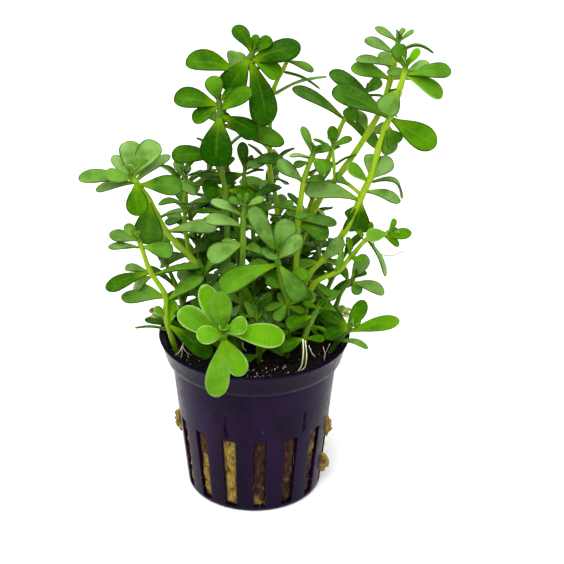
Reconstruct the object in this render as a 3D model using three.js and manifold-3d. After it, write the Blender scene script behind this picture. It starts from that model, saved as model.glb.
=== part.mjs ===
// Potted water hyssop: a dark violet net pot packed with rock wool and topped with soil, and the
// leafy shoots that grow out of it. Millimetres, +Z up, the front is -Y, and the origin is the
// middle of the pot's underside.
import * as THREE from "three";
import { mergeVertices } from "three/addons/utils/BufferGeometryUtils.js";
import Module from "manifold-3d";

const wasm = await Module();
wasm.setup();

// Pot
const POT_HEIGHT = 50;
const RIM_RADIUS = 28; // outside of the collar at the top
const COLLAR_HEIGHT = 7; // the flared band below the rim
const COLLAR_RADIUS = 25.9; // outside of the collar at its lower edge
const WALL_TOP_RADIUS = 24.4; // outside of the wall, right below the collar
const WALL_FOOT_RADIUS = 20; // the same cone carried down to the underside
const BASE_RADIUS = 18.8; // the flat underside
const WALL = 1.1;
const BASE_THICKNESS = 1.2;
const BASE_ROUNDING = 1;
const POT_SIDES = 30;
const SLOTS = 15;
const FIRST_SLOT = 4.4; // degrees to the right of the front
const SLOT_BOTTOM = 1.6;
const SLOT_TOP = 25.5;
const SLOT_WIDTH_BOTTOM = 3.5;
const SLOT_WIDTH_TOP = 4.4;
const DENTS = 6; // shallow grooves that keep stacked pots apart
const FIRST_DENT = -21;
const DENT_BOTTOM = 27.5;
const DENT_HEIGHT = 6.5;
const DENT_WIDTH = 1.7;
const DENT_DEPTH = 0.5;

// Filling
const GAP = 0.3; // clearance between pieces that touch
const WOOL_TOP = 40;
const SOIL_TOP = 46.5;
const PLANTING_DEPTH = 5; // how far a stem reaches into the soil
const TUFT_WIDTH = 2.6;
const TUFT_ROOT = 2; // how far a tuft's middle lies inside the wall's outside
const TUFTS = [
  // slot counted from the front one to the right, height, length, how far it stands out
  [3, 8, 7.5, 2.2],
  [3, 21.3, 8.5, 1.2],
  [11, 20.5, 9, 1.5],
];

// Leaves and stems
const LEAF_THICKNESS = 1.0;
const LEAF_TOP = 0.4; // share of the thickness above the leaf's middle, and the rest is its keel
const STEM_SIDES = 5;
const STEM_STEP = 16; // one ring of faces for about this much stem
const PAIR_SPACING = 1.3; // the leaves of a crowded node sit pair below pair
const LEAF_SEAT = 0.4; // where a leaf's foot lies between the stem's middle and its skin
const LEAF_RINGS = [
  // share of the length, share of the width, share of the thickness
  [0.64, 1.0, 1.0],
  [0.9, 0.84, 0.8],
];
const SHORT_LEAF = 12.5; // leaves up to this length are a plain spearhead
const SHORT_LEAF_RINGS = [[0.72, 1.0, 1.0]];
const GIVE_WAY = [0, 2, -2, 4, -4, 6, -6]; // mm a crowded leaf moves back or forth to pass clear
const SLIGHT_TOUCH = 0.5; // cubic mm of overlap that a leaf doesn't give way for
const TOWARDS_LIGHT = new THREE.Vector3(0, -0.894, 0.447);

// Shoots. A stem passes through its nodes, from the soil to the tip, and a leaf runs from its node
// to its own tip. Each place is x and z on the upright plane through the pot's axis, as seen from
// VIEWPOINT, and y is its depth in front of (-) or behind (+) that plane.
const VIEWPOINT = new THREE.Vector3(0, -435, 290);

function place(x, z, y) {
  const scale = 1 - y / VIEWPOINT.y;
  return new THREE.Vector3(x * scale, y, VIEWPOINT.z + (z - VIEWPOINT.z) * scale);
}

// lean is how far the upper face turns to the front, and arch how far the leaf bows upwards.
function leaf(x, z, depth, width, lean = 1, arch = 0.08) {
  return { x, z, depth, width, lean, arch };
}

function node(x, z, y, ...leaves) {
  return { x, z, y, leaves };
}

// A shoot's foot is where its stem enters the soil. A side shoot has none: it starts on the stem
// of the shoot whose name it shares, and the two are one piece.
const SHOOTS = [
  {
    name: "rosette_shoot",
    foot: [-9, -13],
    stem: 2.0,
    nodes: [
      node(-8.9, 48.6, -19.5,
        leaf(-11.8, 27.6, -11, 6.9),
        leaf(-3.6, 35.0, -7, 6.0),
        leaf(-22.3, 56.8, 1, 7.0),
        leaf(-14.8, 65.6, 5, 6.0)),
      node(-8.8, 50.6, -21,
        leaf(9.0, 47.8, -1, 7.2),
        leaf(-2.0, 52.8, -3, 5.4),
        leaf(-10.3, 63.4, 3, 6.4),
        leaf(-17.0, 48.2, -4, 5.6, 1, 0.2)),
    ],
  },
  {
    name: "right_front_shoot",
    foot: [14.5, -11],
    stem: 1.8,
    nodes: [
      node(15.0, 48.5, -14,
        leaf(20.7, 47.2, -2, 3.0, 0.6),
        leaf(7.0, 43.8, -5, 4.4)),
      node(16.4, 52.5, -13.5,
        leaf(21.0, 50.2, -3, 2.2, 0.2)),
      node(17.6, 55.8, -13,
        leaf(9.3, 51.9, -3, 4.6),
        leaf(20.6, 60.6, 3, 3.0)),
      node(18.8, 58.6, -12.5,
        leaf(14.0, 59.5, -1, 2.6),
        leaf(23.6, 57.2, 3, 2.8, 0.4)),
    ],
  },
  {
    name: "rim_shoot",
    foot: [20, -5],
    stem: 1.8,
    nodes: [
      node(25.2, 47.8, -7,
        leaf(33.6, 44.2, -3, 2.6, 0.3, 0.15),
        leaf(26.0, 53.0, 6, 3.0)),
      node(28.3, 51.6, -8,
        leaf(19.3, 57.4, 1, 5.8),
        leaf(20.2, 48.7, -5, 4.6),
        leaf(32.1, 60.5, 3, 4.6),
        leaf(42.6, 53.8, -1, 4.7)),
    ],
  },
  {
    name: "middle_right_shoot",
    foot: [9.5, -8],
    stem: 1.9,
    nodes: [
      node(9.4, 60.2, -11,
        leaf(3.0, 57.2, -3, 2.8, 0.6),
        leaf(6.2, 53.6, -5, 3.6),
        leaf(14.8, 56.6, -3, 2.6),
        leaf(16.0, 64.0, 6, 5.0)),
      node(8.0, 65.5, -12.5,
        leaf(3.1, 66.8, -2, 3.6),
        leaf(15.5, 70.0, 6, 4.8)),
      node(6.8, 72.8, -14.5,
        leaf(13.9, 60.6, -5, 6.4),
        leaf(-10.2, 64.0, 0, 7.6)),
      node(6.2, 76.0, -15,
        leaf(-1.2, 90.4, 1, 5.2),
        leaf(3.0, 74.6, -5, 6.0),
        leaf(14.0, 80.6, -2, 5.6),
        leaf(9.9, 86.6, 3, 6.8)),
    ],
  },
  {
    name: "middle_shoot",
    foot: [-4, -5],
    stem: 1.9,
    nodes: [
      node(-3.6, 61.0, -8.5,
        leaf(3.0, 51.6, -3, 6.2),
        leaf(5.8, 53.0, 1, 4.0),
        leaf(-6.9, 55.2, -3, 2.6),
        leaf(-11.5, 66.0, 6, 5.0)),
      node(-3.4, 71.0, -9,
        leaf(4.0, 72.5, 7, 4.6),
        leaf(-10.0, 70.5, 5, 4.6)),
      node(-3.2, 79.2, -9.5,
        leaf(-13.2, 73.4, -3, 6.6),
        leaf(-9.3, 79.6, 1, 2.4, 0.2),
        leaf(1.8, 77.2, 4, 4.6)),
      node(-3.2, 84.9, -9.5,
        leaf(-14.2, 86.4, -1, 4.4, 1, 0.15),
        leaf(1.0, 82.0, 5, 3.0)),
      node(-3.1, 88.2, -9.5,
        leaf(-12.4, 92.2, 0, 3.6, 0.7, 0.12),
        leaf(2.4, 88.0, -1, 4.6)),
      node(-2.4, 91.4, -9.5,
        leaf(-7.3, 92.5, 0, 2.8),
        leaf(2.9, 93.0, 0, 2.4),
        leaf(-4.5, 94.6, 1, 1.6),
        leaf(-2.0, 94.8, 1, 1.6)),
    ],
  },
  {
    name: "low_left_shoot",
    foot: [-20.5, -7.5],
    stem: 1.8,
    nodes: [
      node(-24.0, 47.0, -9),
      node(-25.5, 53.0, -9.5,
        leaf(-23.6, 60.6, 2, 4.6),
        leaf(-12.5, 41.5, -8, 5.8),
        leaf(-35.1, 51.3, -1, 2.0, -0.3)),
      node(-25.8, 56.6, -9.5,
        leaf(-29.3, 57.4, -2, 3.2)),
      node(-26.0, 62.3, -10,
        leaf(-38.8, 61.4, -1, 4.6, 0.9),
        leaf(-34.4, 64.8, 2, 3.2, 0.6),
        leaf(-14.6, 68.6, 3, 4.8, 0.8)),
      node(-30.2, 70.3, -10.5,
        leaf(-43.2, 64.3, -2, 5.2),
        leaf(-37.3, 71.3, 3, 3.0, 0.7),
        leaf(-35.2, 63.6, 4, 4.4),
        leaf(-15.4, 71.3, 4, 3.4, 0.3)),
      node(-32.5, 78.4, -11,
        leaf(-23.3, 75.7, -2, 5.6),
        leaf(-41.9, 77.8, -1, 3.0, 0.5)),
      node(-33.3, 80.6, -11,
        leaf(-41.4, 81.9, 1, 4.2),
        leaf(-36.6, 85.0, 2, 3.4)),
    ],
  },
  {
    name: "left_shoot",
    foot: [-11, 1],
    stem: 1.8,
    nodes: [
      node(-17.2, 72.8, -1),
      node(-22.0, 78.6, -2),
      node(-25.3, 83.0, -3,
        leaf(-10.6, 84.0, 1, 4.8, 0.9, 0.14),
        leaf(-25.0, 76.0, 9, 5.0)),
      node(-27.4, 87.6, -4.2,
        leaf(-20.0, 89.0, 0, 2.2, 0)),
      node(-29.8, 92.8, -5.5,
        leaf(-29.8, 78.5, -4, 9.2)),
      node(-33.5, 98.6, -7,
        leaf(-32.6, 87.5, -6, 6.7),
        leaf(-44.7, 95.5, 1, 3.6, 0.4),
        leaf(-20.3, 96.1, -1, 6.4),
        leaf(-16.3, 94.3, 5, 3.8, 0.8, 0.2)),
      node(-34.5, 99.8, -7,
        leaf(-49.4, 99.1, 0, 4.8),
        leaf(-41.9, 100.2, -4, 5.2),
        leaf(-39.5, 106.0, 4, 3.4),
        leaf(-23.4, 106.1, 5, 4.0, 0.7)),
      node(-34.4, 100.8, -7,
        leaf(-34.5, 110.6, 4, 6.4),
        leaf(-26.5, 109.8, 3, 7.2),
        leaf(-31.0, 105.3, -1, 5.2, -1)),
    ],
  },
  {
    name: "left_back_shoot",
    foot: [-13, 7],
    stem: 1.7,
    nodes: [
      node(-18.5, 76.0, 8,
        leaf(-27.0, 72.0, 4, 5.0),
        leaf(-13.0, 79.0, 4, 4.0)),
      node(-19.8, 84.5, 8,
        leaf(-24.0, 88.8, 8, 4.0),
        leaf(-16.0, 82.0, 7, 4.5)),
      node(-19.4, 91.8, 8,
        leaf(-27.2, 91.0, -1, 2.8, 0.4, 0.2),
        leaf(-12.2, 92.3, -1, 3.2, 0.2),
        leaf(-21.0, 98.0, 6, 4.0)),
      node(-19.2, 99.8, 8,
        leaf(-16.2, 94.6, -2, 4.0),
        leaf(-22.0, 104.8, 2, 3.2),
        leaf(-10.5, 101.6, -1, 2.2, 0)),
    ],
  },
  {
    name: "second_tall_left_shoot",
    foot: [-6.5, 1.5],
    stem: 1.9,
    nodes: [
      node(-8.0, 89.0, 1.5,
        leaf(-16.5, 89.0, 2, 2.6, 0.3)),
      node(-8.2, 96.0, 2,
        leaf(-14.7, 96.0, -2, 6.8),
        leaf(0.2, 93.4, 2, 4.2)),
      node(-9.3, 101.4, 2,
        leaf(-18.7, 100.0, 1, 2.2, -0.2),
        leaf(-7.0, 106.0, 9, 4.5)),
      node(-9.6, 106.4, 1.5,
        leaf(-23.1, 106.0, -2, 6.4),
        leaf(-13.2, 101.8, 3, 3.8)),
      node(-9.5, 118.6, 1,
        leaf(-10.9, 102.7, -6, 9.2),
        leaf(1.0, 112.1, -2, 6.8)),
      node(-9.6, 121.6, 1,
        leaf(-22.1, 123.0, 0, 7.4),
        leaf(-16.7, 115.9, -4, 5.2),
        leaf(-0.4, 125.0, -2, 6.4),
        leaf(-8.5, 116.0, 10, 5.0)),
      node(-9.8, 122.8, 1,
        leaf(-11.6, 129.6, 2, 5.2),
        leaf(-5.5, 126.0, 4, 3.2)),
    ],
  },
  {
    name: "small_middle_shoot",
    foot: [0, 4],
    stem: 1.6,
    nodes: [
      node(-1.0, 92.0, 6),
      node(-2.8, 98.0, 6.5,
        leaf(3.0, 93.5, 6, 4.0),
        leaf(-7.5, 92.5, 3, 4.0)),
      node(-2.6, 102.6, 6.5,
        leaf(-3.4, 110.2, 1, 3.4),
        leaf(8.4, 104.3, 0, 4.2, 0.8, 0.25),
        leaf(2.8, 101.6, -1, 1.8, -0.2),
        leaf(-9.4, 98.1, -1.5, 4.4)),
    ],
  },
  {
    name: "tall_left_shoot",
    foot: [-3.5, 9],
    stem: 2.0,
    nodes: [
      node(-6.0, 95.0, 10,
        leaf(-12.5, 93.0, 6, 4.8),
        leaf(1.5, 94.5, 6, 4.4)),
      node(-8.6, 106.0, 9.5),
      node(-9.0, 116.0, 9,
        leaf(8.4, 109.7, -3, 6.5),
        leaf(-14.5, 119.5, 8, 4.6)),
      node(-4.6, 131.4, 8.5,
        leaf(-18.7, 133.2, -2, 7.4, 1, 0.14),
        leaf(2.8, 131.5, 4, 3.4, -0.5),
        leaf(-5.0, 136.6, 5, 5.6)),
      node(-1.0, 135.2, 8.5,
        leaf(-7.5, 125.0, -3, 8.0),
        leaf(3.2, 114.8, -6, 9.4),
        leaf(12.6, 138.1, -1, 7.6)),
      node(-0.2, 136.8, 8.5,
        leaf(-5.6, 143.6, 1, 5.4, 1, 0.15),
        leaf(4.6, 140.4, 1, 4.0),
        leaf(0.7, 141.4, 2, 2.6),
        leaf(6.5, 128.8, -3, 6.2)),
    ],
  },
  {
    name: "inner_right_shoot",
    foot: [11, -1],
    stem: 1.9,
    nodes: [
      node(12.6, 87.0, 0,
        leaf(17.6, 88.0, 2, 2.6),
        leaf(23.5, 85.2, 1, 4.0),
        leaf(21.3, 81.2, -2, 6.4)),
      node(12.8, 89.5, 0,
        leaf(5.4, 90.4, 0, 2.4, 0.1),
        leaf(13.6, 86.4, -5, 4.2, 2)),
      node(14.0, 98.8, 0,
        leaf(6.0, 103.8, -3, 5.4, 1, 0.12),
        leaf(19.6, 98.6, -3, 3.6, 0.7, 0.14)),
      node(16.2, 106.0, 0,
        leaf(20.8, 101.2, -4, 5.8),
        leaf(9.7, 105.9, -1, 2.8, 0),
        leaf(11.0, 102.9, -2, 2.6)),
      node(16.6, 107.3, 0,
        leaf(13.1, 114.8, 2, 2.8),
        leaf(21.2, 108.8, 2, 3.2)),
    ],
  },
  {
    name: "right_tall_shoot",
    foot: [11, 5],
    stem: 2.1,
    nodes: [
      node(15.2, 68.0, 3,
        leaf(22.0, 61.8, -3, 3.0, 0.6),
        leaf(10.0, 70.5, 8, 5.0)),
      node(20.2, 74.4, 3,
        leaf(25.4, 80.4, -2, 4.4),
        leaf(26.4, 71.2, -2, 3.2, 0.8),
        leaf(11.6, 71.2, 0, 3.4, 0.6)),
      node(25.8, 82.8, 3),
      node(30.0, 93.0, 3,
        leaf(14.2, 95.0, -2, 6.3, 1, 0.14),
        leaf(28.6, 82.6, 1, 8.0, 2),
        leaf(27.0, 86.5, 3, 4.4)),
      node(31.2, 96.0, 3,
        leaf(41.4, 91.9, -2, 4.4, 0.7, 0.15)),
      node(32.8, 100.0, 3,
        leaf(34.2, 106.4, 3, 6.8),
        leaf(38.5, 105.0, -1, 5.4),
        leaf(41.6, 92.9, 2, 3.2, 0.2, 0.35),
        leaf(26.0, 103.2, -1, 4.8)),
      node(34.4, 107.4, 3),
      node(36.4, 115.0, 3,
        leaf(39.0, 109.0, -1, 6.2),
        leaf(37.8, 106.4, 1, 5.2, 2)),
      node(37.6, 118.0, 3,
        leaf(21.1, 124.9, -2, 8.0),
        leaf(50.6, 109.1, -2, 9.4, 1, -0.04)),
      node(39.9, 126.4, 2.5,
        leaf(35.6, 118.4, -4, 6.8),
        leaf(37.5, 121.5, 8, 5.0)),
      node(40.9, 130.6, 2.5,
        leaf(53.6, 130.9, -1, 5.6),
        leaf(51.6, 123.4, -2, 5.8)),
      node(41.1, 132.8, 2.5,
        leaf(38.0, 138.4, 1, 5.2),
        leaf(44.6, 137.4, 1, 2.6),
        leaf(47.4, 133.4, 2, 3.0, 2)),
    ],
  },
  {
    name: "right_tall_shoot",
    stem: 1.2,
    nodes: [
      node(30.2, 94.0, 3),
      node(26.0, 97.6, 4.5,
        leaf(22.9, 100.6, -3, 2.8, 0.7)),
      node(23.0, 98.8, 5.5,
        leaf(19.5, 96.5, 5, 3.2)),
      node(22.2, 104.0, 6,
        leaf(28.6, 106.4, 1, 1.6, -0.2)),
      node(21.8, 109.6, 6,
        leaf(21.5, 115.0, 1, 3.1),
        leaf(27.2, 111.2, 0, 2.6),
        leaf(16.3, 111.0, 0, 2.0, 0),
        leaf(23.0, 109.0, 6, 2.6)),
    ],
  },
  {
    name: "low_right_shoot",
    foot: [14, 0],
    stem: 1.7,
    nodes: [
      node(17.0, 65.4, -1.5,
        leaf(14.0, 60.6, -4, 3.6)),
      node(24.2, 70.0, -1.5,
        leaf(25.0, 76.6, -2, 2.6)),
      node(28.1, 75.1, -1.5,
        leaf(26.4, 81.0, 0, 2.4),
        leaf(31.5, 73.2, -4, 3.8)),
      node(33.0, 80.8, -1.5,
        leaf(33.2, 85.7, 1, 2.2),
        leaf(38.0, 68.2, -1, 2.6, 0.6, 0.08),
        leaf(29.6, 83.2, 2, 2.4)),
      node(39.0, 82.0, -1.5,
        leaf(31.8, 81.2, -2, 4.0),
        leaf(39.9, 86.7, 2, 2.4),
        leaf(44.9, 82.2, 0, 3.4),
        leaf(41.4, 77.9, -2, 2.6),
        leaf(41.0, 83.0, 7, 2.6)),
    ],
  },
  {
    name: "lowest_right_shoot",
    foot: [18, 3],
    stem: 1.6,
    nodes: [
      node(23.8, 58.5, 4,
        leaf(27.5, 56.5, 5, 3.6),
        leaf(19.0, 58.8, 4, 4.0)),
      node(25.6, 64.0, 4,
        leaf(20.6, 61.4, -4, 3.8)),
      node(28.8, 67.8, 4,
        leaf(31.9, 75.4, 1, 4.7),
        leaf(30.1, 62.1, -3, 4.0),
        leaf(37.8, 62.8, -1, 4.4, 1, 0.16),
        leaf(24.6, 71.6, 3, 3.4)),
    ],
  },
  {
    name: "back_stem_shoot",
    foot: [4.5, 11],
    stem: 1.6,
    nodes: [
      node(6.4, 91.0, 13,
        leaf(11.2, 91.2, -1, 3.6),
        leaf(-0.5, 89.0, 2, 3.8)),
      node(4.6, 99.6, 13,
        leaf(1.2, 96.8, -1, 2.2),
        leaf(8.5, 97.5, 8, 4.4)),
      node(4.3, 108.0, 13,
        leaf(7.5, 104.8, 7, 4.0),
        leaf(2.0, 111.5, 8, 4.2)),
      node(5.1, 125.0, 13,
        leaf(19.9, 129.4, 0, 2.2, -0.1, 0.08),
        leaf(0.8, 127.0, 9, 4.4)),
      node(7.9, 131.6, 13,
        leaf(18.0, 125.8, 0, 2.4, -0.2)),
      node(9.3, 134.6, 13,
        leaf(16.2, 130.9, -1, 3.4, 0.6),
        leaf(8.6, 137.0, 6, 3.8)),
    ],
  },
  {
    name: "slender_shoot",
    foot: [9.5, 11.5],
    stem: 1.6,
    nodes: [
      node(14.5, 86.0, 14,
        leaf(21.0, 84.0, 5, 4.4),
        leaf(9.0, 88.0, 6, 4.4)),
      node(20.0, 103.0, 14,
        leaf(16.0, 100.0, 7, 4.2)),
      node(23.2, 112.8, 13.5),
      node(25.2, 117.6, 13,
        leaf(10.3, 125.9, -2, 4.5),
        leaf(34.5, 108.4, 0, 4.6)),
      node(28.2, 122.2, 12.5,
        leaf(26.0, 116.6, -3, 5.0),
        leaf(33.0, 120.5, 7, 4.4)),
      node(30.5, 125.2, 12.5,
        leaf(34.6, 128.5, 1, 3.6),
        leaf(25.2, 129.0, 0, 2.4, 0),
        leaf(35.4, 123.7, 0, 1.8, -0.1)),
    ],
  },
  {
    name: "back_tall_shoot",
    foot: [5.5, 14.5],
    stem: 2.0,
    nodes: [
      node(17.4, 90.6, 9.5,
        leaf(10.0, 84.0, 7, 5.2),
        leaf(20.5, 84.0, 8, 4.6)),
      node(25.3, 102.4, 8.5),
      node(31.8, 113.6, 8.5,
        leaf(27.0, 119.6, 9, 5.0),
        leaf(38.5, 113.0, 10, 5.4)),
      node(34.9, 120.0, 8.5,
        leaf(20.3, 130.5, -1, 5.6),
        leaf(38.5, 118.5, 8, 4.6)),
      node(37.3, 129.4, 8,
        leaf(26.2, 131.7, -1, 5.4),
        leaf(45.5, 129.5, 9, 4.8)),
      node(37.9, 133.0, 8,
        leaf(38.9, 129.4, -7, 5.4, 2),
        leaf(27.5, 134.1, -1, 3.4, 0.8),
        leaf(34.5, 136.5, 7, 4.2)),
      node(38.4, 136.6, 8,
        leaf(29.6, 139.7, 0, 3.8),
        leaf(48.7, 136.0, 0, 2.0, -0.1, 0.24)),
      node(38.9, 140.2, 8,
        leaf(32.4, 143.3, 0, 2.8),
        leaf(42.9, 142.5, 0, 1.6),
        leaf(39.2, 142.4, 2, 1.8)),
    ],
  },
];

// Shoots of the bush's far side and its dark middle, grown by the plant's own rule: leaves in
// pairs, each pair at a right angle to the one below, larger below and smaller at the tip.
// Here the foot and the tip are plain x, y and x, y, z.
const BUSH = [
  // name, foot, tip, pairs of leaves, longest leaf
  ["bush_shoot_1", [-14, 12.5], [-22, 20, 90], 4, 15],
  ["bush_shoot_2", [-6, 17], [-10, 28, 94], 5, 15],
  ["bush_shoot_3", [2, 18.5], [5, 30, 90], 4, 15],
  ["bush_shoot_4", [13, 13.5], [18, 23, 85], 4, 14],
  ["bush_shoot_5", [18.5, 8.5], [27, 14, 69], 3, 12],
  ["bush_shoot_6", [-19, 2.5], [-26, 6, 70], 3, 13],
  ["bush_shoot_7", [1.5, -11], [0, -13, 66], 3, 12],
  ["bush_shoot_8", [-13, -6], [-15, -7, 72], 3, 13],
];
const BUSH_STEM = 1.7;
const BUSH_LEAF_SLENDERNESS = 0.36;
const BUSH_FIRST_PAIR = 0.3; // share of the stem below the lowest pair
const BUSH_TAPER = 0.35; // how much shorter the leaves at the tip are
const BUSH_LIFT = [0.15, 0.9]; // rise of a leaf for each mm outwards, lowest and highest pair
const BUSH_LEAN = 0.2;
const BUSH_ARCH = 0.1;
const BUSH_FIRST_TWIST = 0.7; // radians
const BUSH_TWIST_STEP = 1.1;

// Turns a closed geometry into a solid for joining and cutting.
function solid(geometry) {
  const bare = geometry.index ? geometry.toNonIndexed() : geometry.clone();
  bare.deleteAttribute("normal");
  bare.deleteAttribute("uv");
  const merged = mergeVertices(bare, 1e-4);
  const corners = merged.index.array;
  const triVerts = [];
  for (let i = 0; i < corners.length; i += 3) {
    const [a, b, c] = corners.slice(i, i + 3);
    if (a !== b && b !== c && c !== a) triVerts.push(a, b, c);
  }
  return new wasm.Manifold(
    new wasm.Mesh({
      numProp: 3,
      vertProperties: merged.attributes.position.array,
      triVerts: new Uint32Array(triVerts),
    }),
  );
}

// The biggest separate body of a solid, for pieces that a neighbour has trimmed.
function mainBody(shape) {
  return shape.decompose().sort((a, b) => b.volume() - a.volume())[0];
}

function meshOf(name, shape, material) {
  const { numProp, vertProperties, triVerts } = shape.getMesh();
  const position = new Float32Array((vertProperties.length / numProp) * 3);
  for (let i = 0; i < position.length / 3; i++) {
    position.set(vertProperties.subarray(i * numProp, i * numProp + 3), i * 3);
  }
  const geometry = new THREE.BufferGeometry();
  geometry.setAttribute("position", new THREE.BufferAttribute(position, 3));
  geometry.setIndex(new THREE.BufferAttribute(triVerts, 1));
  geometry.computeVertexNormals();
  const mesh = new THREE.Mesh(geometry, material);
  mesh.name = name;
  return mesh;
}

// Turned shapes stand on Z, where LatheGeometry turns about Y.
function turned(profile, sides) {
  const points = profile.map(([r, z]) => new THREE.Vector2(r, z));
  return new THREE.LatheGeometry(points, sides).rotateX(Math.PI / 2);
}

// Turns something that points to the front round to an angle, in degrees, counted to the right.
function turnToAngle(geometry, angle) {
  return geometry.rotateZ(THREE.MathUtils.degToRad(angle));
}

function wallRadius(z) {
  const share = z / (POT_HEIGHT - COLLAR_HEIGHT);
  return THREE.MathUtils.lerp(WALL_FOOT_RADIUS, WALL_TOP_RADIUS, share);
}

function slotAngle(index) {
  return FIRST_SLOT + (360 / SLOTS) * index;
}

// A slot is wider at its top and runs straight through the wall.
function slotCutter(angle) {
  const low = SLOT_WIDTH_BOTTOM / 2;
  const high = SLOT_WIDTH_TOP / 2;
  const outline = new THREE.Shape([
    new THREE.Vector2(-low, SLOT_BOTTOM),
    new THREE.Vector2(low, SLOT_BOTTOM),
    new THREE.Vector2(high, SLOT_TOP),
    new THREE.Vector2(-high, SLOT_TOP),
  ]);
  const depth = RIM_RADIUS - BASE_RADIUS + 2 * WALL;
  const cutter = new THREE.ExtrudeGeometry(outline, { depth, bevelEnabled: false });
  cutter.rotateX(Math.PI / 2).translate(0, -(BASE_RADIUS - 2 * WALL), 0);
  return turnToAngle(cutter, angle);
}

// A dent is a narrow drop shape, pointed at its top and sunk a little into the wall.
function dentCutter(angle) {
  const outline = new THREE.Shape([
    new THREE.Vector2(-DENT_WIDTH / 2, 0),
    new THREE.Vector2(DENT_WIDTH / 2, 0),
    new THREE.Vector2(0, DENT_HEIGHT),
  ]);
  const cutter = new THREE.ExtrudeGeometry(outline, { depth: 3, bevelEnabled: false });
  const radius = wallRadius(DENT_BOTTOM + DENT_HEIGHT / 2) - DENT_DEPTH;
  cutter.rotateX(Math.PI / 2).translate(0, -radius, DENT_BOTTOM);
  return turnToAngle(cutter, angle);
}

function pot() {
  const collarBottom = POT_HEIGHT - COLLAR_HEIGHT;
  const profile = [
    [0, 0],
    [BASE_RADIUS, 0],
    [wallRadius(BASE_ROUNDING), BASE_ROUNDING],
    [WALL_TOP_RADIUS, collarBottom],
    [COLLAR_RADIUS, collarBottom + 0.3],
    [RIM_RADIUS, POT_HEIGHT],
    [RIM_RADIUS - WALL, POT_HEIGHT],
    [COLLAR_RADIUS - WALL, collarBottom + 1.5],
    [WALL_TOP_RADIUS - WALL, collarBottom],
    [wallRadius(BASE_THICKNESS) - WALL, BASE_THICKNESS],
    [0, BASE_THICKNESS],
  ];
  let shape = solid(turned(profile, POT_SIDES));
  for (let i = 0; i < SLOTS; i++) {
    shape = shape.subtract(solid(slotCutter(slotAngle(i))));
  }
  for (let i = 0; i < DENTS; i++) {
    shape = shape.subtract(solid(dentCutter(FIRST_DENT + (360 / DENTS) * i)));
  }
  return shape;
}

// The rock wool fills the pot, and a few tufts of it push out through the slots.
function rockWool() {
  const bottom = BASE_THICKNESS + GAP;
  const inset = WALL + GAP;
  const profile = [
    [0, bottom],
    [wallRadius(bottom) - inset - GAP, bottom],
    [wallRadius(WOOL_TOP) - inset, WOOL_TOP],
    [0, WOOL_TOP],
  ];
  let shape = solid(turned(profile, POT_SIDES));
  for (const [slot, height, length, proud] of TUFTS) {
    const tuft = new THREE.SphereGeometry(1, 8, 6);
    tuft.scale(TUFT_WIDTH / 2, TUFT_ROOT + proud, length / 2);
    tuft.translate(0, TUFT_ROOT - wallRadius(height), height);
    shape = shape.add(solid(turnToAngle(tuft, slotAngle(slot))));
  }
  return shape;
}

// The soil lies on the wool and fills the collar, with a hole where each stem goes in.
function soil(shoots) {
  const bottom = WOOL_TOP + GAP;
  const collarBottom = POT_HEIGHT - COLLAR_HEIGHT;
  const inset = WALL + GAP;
  const profile = [
    [0, bottom],
    [wallRadius(bottom) - inset, bottom],
    [WALL_TOP_RADIUS - inset, collarBottom],
    [COLLAR_RADIUS - inset, collarBottom + 1.8],
    [COLLAR_RADIUS - WALL, SOIL_TOP],
    [0, SOIL_TOP],
  ];
  let shape = solid(turned(profile, POT_SIDES));
  for (const { foot, stem, stops } of shoots) {
    if (foot) shape = shape.subtract(solid(stemShape(stemPath(foot, stops), stem / 2 + GAP)));
  }
  return shape;
}

// The space that leaves keep out of: the soil, and the pot with a clearance all round it.
function keepOut() {
  const collarBottom = POT_HEIGHT - COLLAR_HEIGHT;
  const profile = [
    [0, 0],
    [wallRadius(0) + GAP, 0],
    [WALL_TOP_RADIUS + GAP, collarBottom - GAP],
    [COLLAR_RADIUS + GAP, collarBottom - GAP],
    [RIM_RADIUS + GAP, POT_HEIGHT + GAP],
    [RIM_RADIUS - WALL - GAP, POT_HEIGHT + GAP],
    [COLLAR_RADIUS - WALL, SOIL_TOP + GAP],
    [0, SOIL_TOP + GAP],
  ];
  return solid(turned(profile, POT_SIDES));
}

// Joins rings of corners into one closed skin that runs to a point at both ends.
function loft(foot, rings, tip) {
  const corners = rings[0].length;
  const position = rings.flat().concat([foot, tip]);
  const index = [];
  for (let k = 0; k < corners; k++) {
    index.push(k, (k + 1) % corners, position.length - 2);
  }
  rings.slice(1).forEach((ring, row) => {
    for (let k = 0; k < corners; k++) {
      const a = row * corners + k;
      const b = row * corners + ((k + 1) % corners);
      index.push(a, b + corners, b, a, a + corners, b + corners);
    }
  });
  const last = (rings.length - 1) * corners;
  for (let k = 0; k < corners; k++) {
    index.push(last + k, position.length - 1, last + ((k + 1) % corners));
  }
  const geometry = new THREE.BufferGeometry().setFromPoints(position);
  geometry.setIndex(index);
  return geometry;
}

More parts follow.
